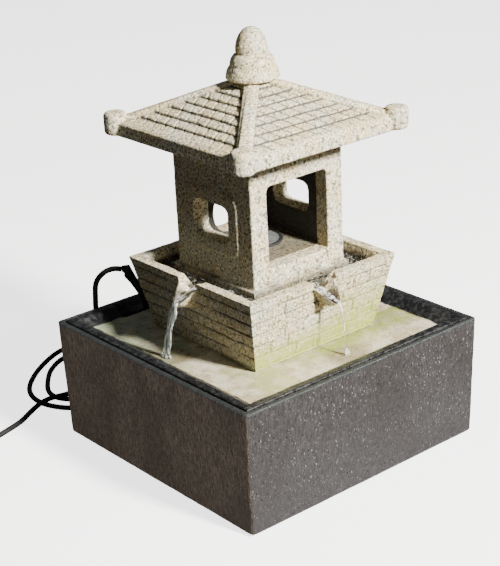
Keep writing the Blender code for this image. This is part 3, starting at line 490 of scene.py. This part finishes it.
def box_stone():
    """Dark cast stone with coarse upright grain, pits and pale flecks, and painted light on its -X
    side: lighter, browner colours there.
    """
    f = Finish("dark_box_stone")
    upright = f.stretched(1.0, 1.0, 0.22)
    grain = f.noise(0.0013, 3, upright)
    # painted light: the -X side takes lighter, browner copies of each colour
    side = f.mask("left_side")
    base = f.mix(side, *BOX_BASE)
    light = f.mix(side, *BOX_GRAIN)
    colour = f.mix(f.step(grain, 0.38, 0.66), base, light)
    fleck = f.step(f.noise(0.0012, 2, f.stretched(1.0, 1.0, 0.45)), 0.66, 0.71, 0.0, 0.9)
    colour = f.mix(fleck, colour, f.mix(side, *BOX_FLECK))
    # painted shade: the pits are darkened
    pit = f.step(f.cells(0.0040, f.stretched(1.0, 1.0, 0.45)), 0.20, 0.08, 0.0, 0.7)
    colour = f.mix(pit, colour, BOX_PIT)
    stain = f.step(f.noise(0.045, 4, f.stretched(1.0, 1.0, 0.5)), 0.40, 0.66, 0.0, 0.55)
    colour = f.mix(stain, colour, f.mix(side, *BOX_STAIN))
    foot = f.step(f.axis("Z"), *BOX_FOOT_Z, 0.0, 0.22)
    colour = f.mix(foot, colour, f.mix(side, *BOX_FOOT))
    colour = f.mix(f.mask("rim"), colour, BOX_RIM)
    f.set(Base_Color=colour, Roughness=f.step(f.noise(0.004, 3), 0.3, 0.7, 0.34, 0.62))
    f.bump(grain, 0.0012, 0.9)
    f.bump(pit, -0.0008, 0.7)
    f.bump(f.noise(0.0008, 2), 0.0003, 0.5)
    return f.material


def moulded(name, colour, shade, roughness, grain=0.0004, depth=0.00006, **values):
    """A moulded or pressed material: faint cloudy colour, a fine surface grain, uneven gloss."""
    f = Finish(name)
    tone = f.mix(f.step(f.noise(0.006, 4), 0.35, 0.65), colour, shade)
    gloss = f.step(f.noise(0.003, 3), 0.3, 0.7, roughness * 0.8, min(1.0, roughness * 1.25))
    f.set(Base_Color=tone, Roughness=gloss, **values)
    f.bump(f.noise(grain, 2), depth, 0.6)
    return f.material


def water_look(name, white_from):
    """Clear water with whitish streaks of air along the fall, more of them the lower the start."""
    f = Finish(name, roughness=0.03)
    air = f.noise(0.0022, 3, f.stretched(1.0, 1.0, 0.12))
    streak = f.step(air, white_from, white_from + 0.12, 1.0, 0.35)
    f.set(Base_Color=(0.96, 0.985, 0.98), IOR=1.333, Transmission_Weight=streak)
    f.bump(f.noise(0.004, 2), 0.0003, 0.5)
    return f.material


def clear_look(name, tint, roughness):
    """Clear moulded resin, a little cloudy."""
    f = Finish(name, roughness=roughness)
    cloud = f.mix(f.step(f.noise(0.002, 3), 0.35, 0.7), tint, tuple(0.86 * c for c in tint))
    f.set(Base_Color=cloud, IOR=1.49, Transmission_Weight=0.85)
    f.bump(f.noise(0.0015, 2), 0.00004, 0.4)
    return f.material


def lattice(cells, seed):
    """A repeatable random value from 0 to 1 for each whole-number cell."""
    mixed = (cells * np.array([73856093, 19349663, 83492791])).sum(axis=-1) + seed * 668265263
    mixed = (mixed ^ (mixed >> 13)) * 1274126177
    return ((mixed ^ (mixed >> 16)) & 0xFFFF) / 0xFFFF


def relief(points, size, seed=0, layers=3):
    """Smooth random relief from -1 to 1, with features of about `size` and finer ones on them."""
    total = np.zeros(len(points))
    reach = 0.0
    for layer in range(layers):
        place = points / size * 2 ** layer
        cell = np.floor(place).astype(np.int64)
        part = place - cell
        part = part * part * (3 - 2 * part)
        for corner in product((0, 1), repeat=3):
            share = np.prod(np.where(corner, part, 1 - part), axis=1)
            total += share * (2 * lattice(cell + corner, seed + layer) - 1) / 2 ** layer
        reach += 1 / 2 ** layer
    return total / reach


def ramp(values, low, high):
    """0 below low and 1 above high, smooth between. With low over high it runs the other way."""
    share = np.clip((values - low) / (high - low), 0, 1)
    return share * share * (3 - 2 * share)


def sculpt(nodes, voxel, shape, finish, rounding=2):
    """A finer copy of CAD nodes that takes their place, remeshed and then shaped by a function."""
    bm = bmesh.new()
    for node in nodes:
        bm.from_mesh(frame["nodes"][node].data)
    rough = bpy.data.meshes.new(f"{nodes[0]}_rough")
    bm.to_mesh(rough)
    bm.free()
    piece = bpy.data.objects.new(f"{nodes[0]}_surface", rough)
    bpy.context.scene.collection.objects.link(piece)
    remesh = piece.modifiers.new("fine", "REMESH")
    remesh.mode = "VOXEL"
    remesh.voxel_size = voxel * 1.0
    soften = piece.modifiers.new("soften", "SMOOTH")
    soften.factor = 0.5
    soften.iterations = rounding
    depsgraph = bpy.context.evaluated_depsgraph_get()
    mesh = bpy.data.meshes.new_from_object(piece.evaluated_get(depsgraph))
    piece.modifiers.clear()
    piece.data = mesh
    count = len(mesh.vertices)
    points = np.empty(count * 3, dtype=np.float32)
    normals = np.empty(count * 3, dtype=np.float32)
    mesh.vertices.foreach_get("co", points)
    mesh.vertices.foreach_get("normal", normals)
    points = points.reshape(-1, 3).astype(float)
    normals = normals.reshape(-1, 3).astype(float)
    offset, masks = shape(points, normals)
    points += normals * offset[:, None]
    low = np.min([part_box(node)[0] for node in nodes], axis=0)
    high = np.max([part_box(node)[1] for node in nodes], axis=0)
    points = np.clip(points, low, high)
    mesh.vertices.foreach_set("co", points.astype(np.float32).ravel())
    for name, values in masks.items():
        layer = mesh.attributes.new(name, "FLOAT", "POINT")
        layer.data.foreach_set("value", np.clip(values, 0, 1).astype(np.float32))
    mesh.materials.clear()
    mesh.materials.append(finish)
    mesh.update()
    mesh.shade_smooth()
    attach(piece, BODY_OF[nodes[0]])
    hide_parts(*nodes)
    return piece


def plan(points):
    """Square plan: distance out from the middle, and place along the side that a point faces."""
    x, y = points[:, 0], points[:, 1]
    on_x = np.abs(x) > np.abs(y)
    return np.where(on_x, np.abs(x), np.abs(y)), np.where(on_x, y, x), on_x


# ---------------------------------------------------------------- roof and finial
EAVE_HALF = 0.0858
EAVE_TOP_Z = 0.2915
APEX_HALF = 0.0135
SLOPE_LENGTH = 0.0793
EAVE_STRIP = 0.0065
HIP_BAND = 0.0066
HIP_EDGE = 0.0006               # half the width of the step from a hip down to the tiles
COURSE = 0.0098
TILE = 0.0125
TILE_STEP = 0.0024
TILE_SINK = 0.0004
TILE_SLANT = 0.35
TILE_JOINT = (0.0012, 0.0004)   # distance from a joint's middle where it starts and is full
TILE_JOINT_DEPTH = 0.0007
# painted light: the joints are darkened less on the shaded -X slope than on the lit slopes
JOINT_SHADE = (0.20, 0.85)      # on the -X slope, and on the others


def shape_roof(points, normals):
    """Courses of lapped tiles between the hips, each a step below the hips and the eave. The groove
    mask holds dark joints, painted shadow under each course's lower edge and painted shadow beside
    the hips.
    """
    out, along, on_x = plan(points)
    up = (EAVE_HALF - out) * SLOPE_LENGTH / (EAVE_HALF - APEX_HALF)
    wobble = 0.0004 * relief(points, 0.010, 5, 2)
    rise = (up - EAVE_STRIP + wobble) / COURSE
    course = np.floor(rise)
    part = rise - course
    facing = np.where(on_x, np.sign(points[:, 0]), -np.sign(points[:, 1]))
    shift = lattice(np.stack([course, facing + 2 * on_x, 0 * course], axis=1).astype(np.int64), 9)
    line = along / TILE + 0.5 * (course % 2) + 0.25 * shift + TILE_SLANT * facing * part
    joint = np.abs(line - np.round(line)) * TILE
    from_hip = (out - np.abs(along)) / 2 ** 0.5
    tiled = (
        ramp(from_hip, HIP_BAND - HIP_EDGE, HIP_BAND + HIP_EDGE) * ramp(rise, -0.02, 0.02)
        * ramp(normals[:, 2], 0.55, 0.75) * (points[:, 2] > EAVE_TOP_Z - 0.001)
    )
    # painted shadow: the top of each course, under the next course's lower edge, is darkened
    lap_shadow = ramp(part, 0.72, 0.90)
    split = ramp(joint, *TILE_JOINT) * ramp(part, 0.98, 0.90)
    uneven = 0.0003 * relief(points, 0.006, 3, 2)
    lap = TILE_STEP * (0.35 + 0.65 * part)
    offset = -tiled * (lap + TILE_JOINT_DEPTH * split + TILE_SINK + uneven)
    offset += 0.00016 * relief(points, 0.0022, 11, 2) - 0.0001
    # painted light: how dark the joints are depends on which slope the light falls on
    shade = np.where(on_x & (points[:, 0] < 0), *JOINT_SHADE)
    groove = tiled * np.maximum(0.92 * lap_shadow, shade * split)
    # painted shadow: a dark band on the tiles beside each hip
    hip_shadow = tiled * ramp(from_hip, HIP_BAND + HIP_EDGE + 0.0010, HIP_BAND + HIP_EDGE)
    return offset, {"groove": np.maximum(groove, 0.55 * hip_shadow)}


def shape_cast(points, normals):
    """Plain cast stone: shallow unevenness and a little roughness."""
    offset = 0.0003 * relief(points, 0.012, 21, 2) + 0.00018 * relief(points, 0.0025, 22, 2)
    return offset - 0.0002, {}


# ---------------------------------------------------------------- chamber and basin
BASIN_FOOT_Z = 0.1043
BASIN_RIM_Z = 0.1703
BASIN_HALF_FOOT = 0.067
BASIN_HALF_RIM = 0.0809
RIM_BAND = 0.0085
BASIN_SKIN = 0.004              # how far in the outer face's looks reach
BRICK_HEIGHT = 0.0112
BRICK_LENGTH = 0.0190
BED_JOINT = (0.0011, 0.0003)    # distance from a joint's middle where it starts and is full
HEAD_JOINT = (0.0010, 0.0003)
BRICK_JOINT_DEPTH = 0.0011
# painted shade: the brick joints are darkened more on the shaded -X side than on the lit sides
BRICK_JOINT_SHADE = (0.88, 0.78)    # on the -X side, and on the others
BASIN_FLOOR_Z = 0.146
SPOUT_HALF = 0.016
SPOUT_WET_Z = (0.166, 0.158)
MOSS_HEIGHT = (0.032, 0.034)    # at the -Y foot's left end, and how much more at its right
WATER_Z = 0.1602
SHADE_SIDE_DARKENING = 0.47               # painted shade: how much darker the -X faces are made all over, through the wet mask


def shape_basin(points, normals):
    """Worn brick joints on the sloping faces, wet inside and at the spouts, mossy at the foot, with
    painted shade on the -X faces and in their joints.
    """
    out, along, on_x = plan(points)
    z = points[:, 2]
    half = BASIN_HALF_FOOT + (BASIN_HALF_RIM - BASIN_HALF_FOOT) * (z - BASIN_FOOT_Z) / (
        BASIN_RIM_Z - BASIN_FOOT_Z
    )
    outward = np.where(
        on_x, normals[:, 0] * np.sign(points[:, 0]), normals[:, 1] * np.sign(points[:, 1])
    )
    face = ramp(outward, 0.6, 0.85) * (np.abs(out - half) < 0.0016)
    shaded = on_x & (points[:, 0] < 0)
    wobble = 0.0005 * relief(points, 0.012, 31, 2)
    down = (BASIN_RIM_Z - RIM_BAND - z + wobble) / BRICK_HEIGHT
    course = np.floor(down + 0.5)
    bed = np.abs(down - course) * BRICK_HEIGHT
    row = np.floor(down)
    side = np.where(on_x, 2, 0) + (points[:, 0] + points[:, 1] > 0)
    shift = lattice(np.stack([row, side, 0 * row], axis=1).astype(np.int64), 4)
    line = along / BRICK_LENGTH + 0.5 * (row % 2) + 0.35 * shift
    head = np.abs(line - np.round(line)) * BRICK_LENGTH
    worn = ramp(relief(points, 0.016, 33, 2), -0.45, 0.10)
    bed_cut = ramp(bed, *BED_JOINT) * ramp(down, -0.2, -0.05) * (0.25 + 0.75 * worn)
    worn_head = ramp(relief(points, 0.011, 35, 2), -0.25, 0.15)
    head_cut = ramp(head, *HEAD_JOINT) * (down > 0) * (0.15 + 0.85 * worn_head)
    head_cut = head_cut * np.where(shaded, 0.45, 1.0)
    cut = face * np.maximum(bed_cut, head_cut)
    offset = -BRICK_JOINT_DEPTH * cut - 0.0001 + 0.00035 * relief(points, 0.009, 36, 2)
    offset += 0.00018 * relief(points, 0.0023, 37, 2)
    offset = np.where(face > 0.5, offset - 0.0003, offset)
    inside = (out < half - BASIN_SKIN) & (z > BASIN_FLOOR_Z)
    wet = inside * ramp(z + 0.0015 * relief(points, 0.008, 38, 2), WATER_Z + 0.0065, WATER_Z + 0.001)
    spout = (out > half + 0.001) | (inside & (np.abs(along) < SPOUT_HALF))
    wet = np.maximum(wet, spout * ramp(z, *SPOUT_WET_Z) * ramp(normals[:, 2], -0.2, 0.4))
    outer = out > half - BASIN_SKIN
    # painted shade: the -X faces are darkened all over through the wet mask
    wet = np.maximum(wet, SHADE_SIDE_DARKENING * ramp(-normals[:, 0], 0.6, 0.85) * outer)
    front = ~on_x & (points[:, 1] < 0)
    height = MOSS_HEIGHT[0] + MOSS_HEIGHT[1] * ramp(points[:, 0], -0.03, 0.06)
    moss = front * ramp((z - BASIN_FOOT_Z) / height, 1.0, 0.10)
    moss = np.maximum(moss, 0.35 * ramp(z, BASIN_FOOT_Z + 0.008, BASIN_FOOT_Z))
    # painted shade: joints darker on the shaded -X side
    shade = np.where(shaded, *BRICK_JOINT_SHADE)
    return offset, {"groove": shade * cut, "wet": wet, "moss": moss * outer}


ROOM_HALF = 0.0360
ROOM_LOW_Z = 0.172
ROOM_FLOOR_DAMP = 0.77
CHAMBER_FOOT_DAMP = 0.85


def shape_chamber(points, normals):
    """Cast stone, wet at its foot and on the room's floor, with painted shade on its -X faces and on
    the room's walls.
    """
    offset, _ = shape_cast(points, normals)
    z = points[:, 2]
    out, _, _ = plan(points)
    splash = 0.003 * relief(points, 0.010, 41, 3)
    foot = ramp(z + splash, WATER_Z + 0.010, WATER_Z + 0.002)
    room = (out < ROOM_HALF) & (z > ROOM_LOW_Z)
    floor = room * (np.abs(normals[:, 2]) > 0.5)
    # painted shade: the chamber's -X faces are darkened through the wet mask
    foot = np.maximum(foot, SHADE_SIDE_DARKENING * ramp(-normals[:, 0], 0.6, 0.85))
    wet = np.maximum(CHAMBER_FOOT_DAMP * foot, ROOM_FLOOR_DAMP * floor)
    # painted shade on the room's walls, not on its floor
    return offset, {"wet": wet, "soot": room * 1.0 - floor}


# ---------------------------------------------------------------- tray and box
TRAY_FLOOR_HALF = 0.1066
TRAY_DAMP = 0.85
DAMP_X = (-0.070, -0.078)           # where the damp at the -X side starts and is full
DAMP_Y = (-0.030, 0.005)
BACK_DAMP_Y = (0.068, 0.080)
LEFT_LANDING = (-0.0985, 0.011)     # where each stream meets the tray
FRONT_LANDING = (0.008, -0.0965)


def shape_tray(points, normals):
    """An uneven floor inside a black rim, damp behind, mossy in front, wet under the streams."""
    out, _, _ = plan(points)
    x, y = points[:, 0], points[:, 1]
    floor = (out < TRAY_FLOOR_HALF + 0.0005) & (normals[:, 2] > 0.5)
    offset = floor * (0.0004 * relief(points, 0.020, 51, 3) + 0.00015 * relief(points, 0.003, 52, 2))
    offset -= 0.0003
    rim = ramp(out + 0.0010 * relief(points, 0.006, 53, 2), TRAY_FLOOR_HALF - 0.001, TRAY_FLOOR_HALF)
    rim = np.maximum(rim, ramp(normals[:, 2], 0.3, 0.0))
    rough = relief(points, 0.030, 54, 3)
    damp = ramp(x + 0.016 * rough, *DAMP_X) * ramp(y + 0.020 * rough, *DAMP_Y)
    damp = np.maximum(damp, 0.8 * ramp(y + 0.010 * rough, *BACK_DAMP_Y))
    near_front = ramp(-y, 0.094, 0.072) * ramp(x, -0.060, 0.010) * (y < -0.05)
    near_left = 0.55 * ramp(-x + 0.012 * rough, 0.100, 0.074) * (x < -0.05) * ramp(y, -0.02, -0.06)
    moss = np.maximum(near_front, near_left)
    landing = np.minimum(
        np.hypot(x - LEFT_LANDING[0], y - LEFT_LANDING[1]),
        np.hypot(x - FRONT_LANDING[0], y - FRONT_LANDING[1]),
    )
    wet = np.maximum(ramp(landing + 0.008 * rough, 0.030, 0.012), 0.45 * near_front)
    return offset, {"rim": rim, "damp": TRAY_DAMP * damp, "moss": moss, "wet": wet}


BOX_SIDE_HALF = 0.1262          # further out than this is the outer side
BOX_RIM_Z = (0.1072, 0.1090)


def shape_box(points, normals):
    """Coarse upright grain on the outer sides, a dark rim, and the -X side that gets painted light.
    """
    out, _, _ = plan(points)
    z = points[:, 2]
    grain = relief(points * np.array([1.0, 1.0, 0.3]), 0.0034, 61, 2)
    outer = (out > BOX_SIDE_HALF) & (np.abs(normals[:, 2]) < 0.5)
    offset = np.where(outer, 0.00032 * grain - 0.00032, 0.00015 * grain - 0.00015)
    offset -= 0.0003 * (relief(points, 0.03, 62, 2) * 0.5 + 0.5)
    # painted light: marks the -X side for its lighter, browner colours
    left = ramp(-normals[:, 0], 0.45, 0.75) * (points[:, 0] < -0.12)
    return offset, {"rim": ramp(z, *BOX_RIM_Z), "left_side": left}


STONE = lantern_stone()
sculpt(["hip_roof"], 0.00075, shape_roof, STONE, 1)
sculpt(["finial"], 0.0006, shape_cast, STONE, 4)
sculpt(["lantern_chamber", "chamber_base"], 0.0009, shape_chamber, STONE, 2)
sculpt(["brick_basin"], 0.00065, shape_basin, STONE, 2)
sculpt(["stone_tray"], 0.0012, shape_tray, tray_stone(), 1)
box = sculpt(["reservoir_box"], 0.0013, shape_box, box_stone(), 1)
make_side_light(box)

# ---------------------------------------------------------------- water
STILL_WATER = water_look("still_water", 0.56)
FALLING_WATER = water_look("falling_water", 0.44)
WATER_OUTER = 0.0697
WATER_INNER = 0.0539
WATER_STEP = 0.0010
WATER_DEPTH = 0.0030
CORNER_RIPPLE = 0.062           # out along both axes from the middle
STREAM_SIDES = 20
STRETCH_RINGS = 8


def add_water(name, mesh, look):
    mesh.materials.append(look)
    mesh.shade_smooth()
    piece = bpy.data.objects.new(name, mesh)
    bpy.context.scene.collection.objects.link(piece)
    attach(piece, "fountain_top")
    return piece


def make_pool():
    """The water round the chamber's foot: a rippled sheet with a thickness."""
    bm = bmesh.new()
    count = round(2 * WATER_OUTER / WATER_STEP)
    bmesh.ops.create_grid(bm, x_segments=count, y_segments=count, size=WATER_OUTER)
    under = [v for v in bm.verts if max(abs(v.co.x), abs(v.co.y)) < WATER_INNER - WATER_STEP / 2]
    bmesh.ops.delete(bm, geom=under, context="VERTS")
    mesh = bpy.data.meshes.new("basin_water")
    bm.to_mesh(mesh)
    bm.free()
    points = np.empty(len(mesh.vertices) * 3, dtype=np.float32)
    mesh.vertices.foreach_get("co", points)
    points = points.reshape(-1, 3).astype(float)
    left = np.hypot(points[:, 0] + WATER_OUTER, points[:, 1])
    front = np.hypot(points[:, 0], points[:, 1] + WATER_OUTER)
    corner = np.hypot(points[:, 0] + CORNER_RIPPLE, points[:, 1] + CORNER_RIPPLE)
    near = np.exp(-left / 0.030) + np.exp(-front / 0.025) + np.exp(-corner / 0.020)
    ripple = relief(points, 0.006, 71, 2) * (0.00025 + 0.0007 * near)
    dip = 0.0012 * (np.exp(-left / 0.008) + np.exp(-front / 0.008))
    points[:, 2] = WATER_Z + ripple - dip
    mesh.vertices.foreach_set("co", points.astype(np.float32).ravel())
    piece = add_water("basin_water", mesh, STILL_WATER)
    thick = piece.modifiers.new("depth", "SOLIDIFY")
    thick.thickness = WATER_DEPTH
    thick.offset = -1.0


def make_stream(name, route, turn):
    """Falling water: a lofted band through (out, across, z, half width, half thickness, twist)."""
    line = smooth_line([step[:3] for step in route], STRETCH_RINGS)
    sizes = smooth_line([step[3:] for step in route], STRETCH_RINGS)
    bm = bmesh.new()
    rings = []
    for i, (place, size) in enumerate(zip(line, sizes)):
        ahead = (line[min(i + 1, len(line) - 1)] - line[max(i - 1, 0)]).normalized()
        across = Vector((0, 1, 0))
        across = (across - ahead * across.dot(ahead)).normalized()
        across = Matrix.Rotation(size[2], 3, ahead) @ across
        face = ahead.cross(across)
        ring = []
        for k in range(STREAM_SIDES):
            angle = 2 * pi * k / STREAM_SIDES
            edge = 1 + 0.25 * abs(cos(angle)) ** 6
            wave = 1 + 0.10 * sin(9 * i / len(line) * pi + 2 * angle)
            offset = across * (cos(angle) * size[0] * wave) + face * (sin(angle) * size[1] * edge)
            ring.append(bm.verts.new(place + offset))
        rings.append(ring)
    for one, two in zip(rings, rings[1:]):
        for k in range(STREAM_SIDES):
            after = (k + 1) % STREAM_SIDES
            bm.faces.new((one[k], one[after], two[after], two[k]))
    bm.faces.new(reversed(rings[0]))
    bm.faces.new(rings[-1])
    bmesh.ops.rotate(bm, verts=bm.verts, matrix=Matrix.Rotation(turn, 3, "Z"))
    bmesh.ops.recalc_face_normals(bm, faces=bm.faces)
    mesh = bpy.data.meshes.new(name)
    bm.to_mesh(mesh)
    bm.free()
    add_water(name, mesh, FALLING_WATER)


LEFT_STREAM = (
    (0.0715, 0.0000, 0.1600, 0.0062, 0.0006, 0.0),
    (0.0800, 0.0000, 0.1578, 0.0050, 0.0008, 0.0),
    (0.0885, 0.0002, 0.1556, 0.0034, 0.0009, 0.0),
    (0.0940, 0.0002, 0.1535, 0.0034, 0.0012, 0.1),
    (0.0968, 0.0000, 0.1470, 0.0064, 0.0014, 0.2),
    (0.0982, -0.0030, 0.1360, 0.0062, 0.0016, 0.4),
    (0.0990, -0.0062, 0.1220, 0.0054, 0.0018, 0.3),
    (0.0994, -0.0090, 0.1100, 0.0046, 0.0019, 0.1),
    (0.0995, -0.0100, 0.1050, 0.0050, 0.0034, 0.0),
)
FRONT_STREAM = (
    (0.0715, 0.0000, 0.1600, 0.0050, 0.0005, 0.0),
    (0.0800, 0.0000, 0.1576, 0.0038, 0.0006, 0.0),
    (0.0885, 0.0006, 0.1552, 0.0022, 0.0006, 0.0),
    (0.0938, 0.0014, 0.1530, 0.0014, 0.0006, 0.0),
    (0.0952, 0.0030, 0.1480, 0.0010, 0.0006, 0.2),
    (0.0958, 0.0052, 0.1320, 0.0008, 0.0006, 0.4),
    (0.0960, 0.0070, 0.1160, 0.0008, 0.0007, 0.2),
    (0.0960, 0.0080, 0.1050, 0.0026, 0.0020, 0.0),
)
make_pool()
make_stream("left_stream", LEFT_STREAM, pi)
make_stream("front_stream", FRONT_STREAM, -pi / 2)

# ---------------------------------------------------------------- fittings
BLACK_PLASTIC = moulded("black_moulded_plastic", (0.018, 0.018, 0.019), (0.030, 0.030, 0.032), 0.40)
BLACK_RUBBER = moulded("black_soft_rubber", (0.010, 0.010, 0.010), (0.022, 0.021, 0.021), 0.62)
MAGNET = moulded("sintered_magnet", (0.060, 0.060, 0.068), (0.100, 0.100, 0.105), 0.45)
CERAMIC = moulded("polished_ceramic", (0.86, 0.85, 0.82), (0.90, 0.89, 0.87), 0.16)
HOSE_VINYL = moulded(
    "cloudy_vinyl", (0.72, 0.77, 0.76), (0.80, 0.83, 0.82), 0.25, Transmission_Weight=0.6
)
PIN_METAL = moulded(
    "plated_brass", (0.76, 0.71, 0.58), (0.80, 0.77, 0.68), 0.24, 0.0002, 0.00002, Metallic=1.0
)
CLEAR = clear_look("clear_lens", (0.88, 0.92, 0.92), 0.08)
LED_RESIN = clear_look("led_resin", (0.95, 0.93, 0.82), 0.12)

FINISHES = {
    "black_plastic": BLACK_PLASTIC,
    "black_rubber": BLACK_RUBBER,
    "clear_plastic": CLEAR,
    "led_resin": LED_RESIN,
    "hose_vinyl": HOSE_VINYL,
    "magnet": MAGNET,
    "ceramic": CERAMIC,
    "pin_metal": PIN_METAL,
}
SCULPTED_FITTINGS = (
    ("cord_sleeve", 0.0005, "black_rubber"),
    ("plug_strain_relief", 0.0004, "black_rubber"),
    ("plug_transformer", 0.0008, "black_plastic"),
    ("pump_housing", 0.0005, "black_plastic"),
    ("pump_cover", 0.0004, "black_plastic"),
    ("light_ring_housing", 0.0004, "black_plastic"),
)
MOULDED_WAVE = 0.00004
cord.data.materials.clear()
cord.data.materials.append(BLACK_RUBBER)


def finish_fittings():
    """Every CAD node that still shows gets the finish of its own material slot."""
    for part in frame["record"]["subparts"]:
        node = frame["nodes"][part["node"]]
        if node.hide_render:
            continue
        for place in node.material_slots:
            place.link = "OBJECT"
            place.material = FINISHES[part["material_slot"]]


def shape_moulded(points, normals):
    """A moulded skin: only the faint waviness that it leaves."""
    return MOULDED_WAVE * relief(points, 0.004, 81, 2) - MOULDED_WAVE, {}


def sculpt_fittings():
    """The larger fittings, with softened edges."""
    for node, voxel, slot in SCULPTED_FITTINGS:
        sculpt([node], voxel, shape_moulded, FINISHES[slot], 2)


sculpt_fittings()
finish_fittings()
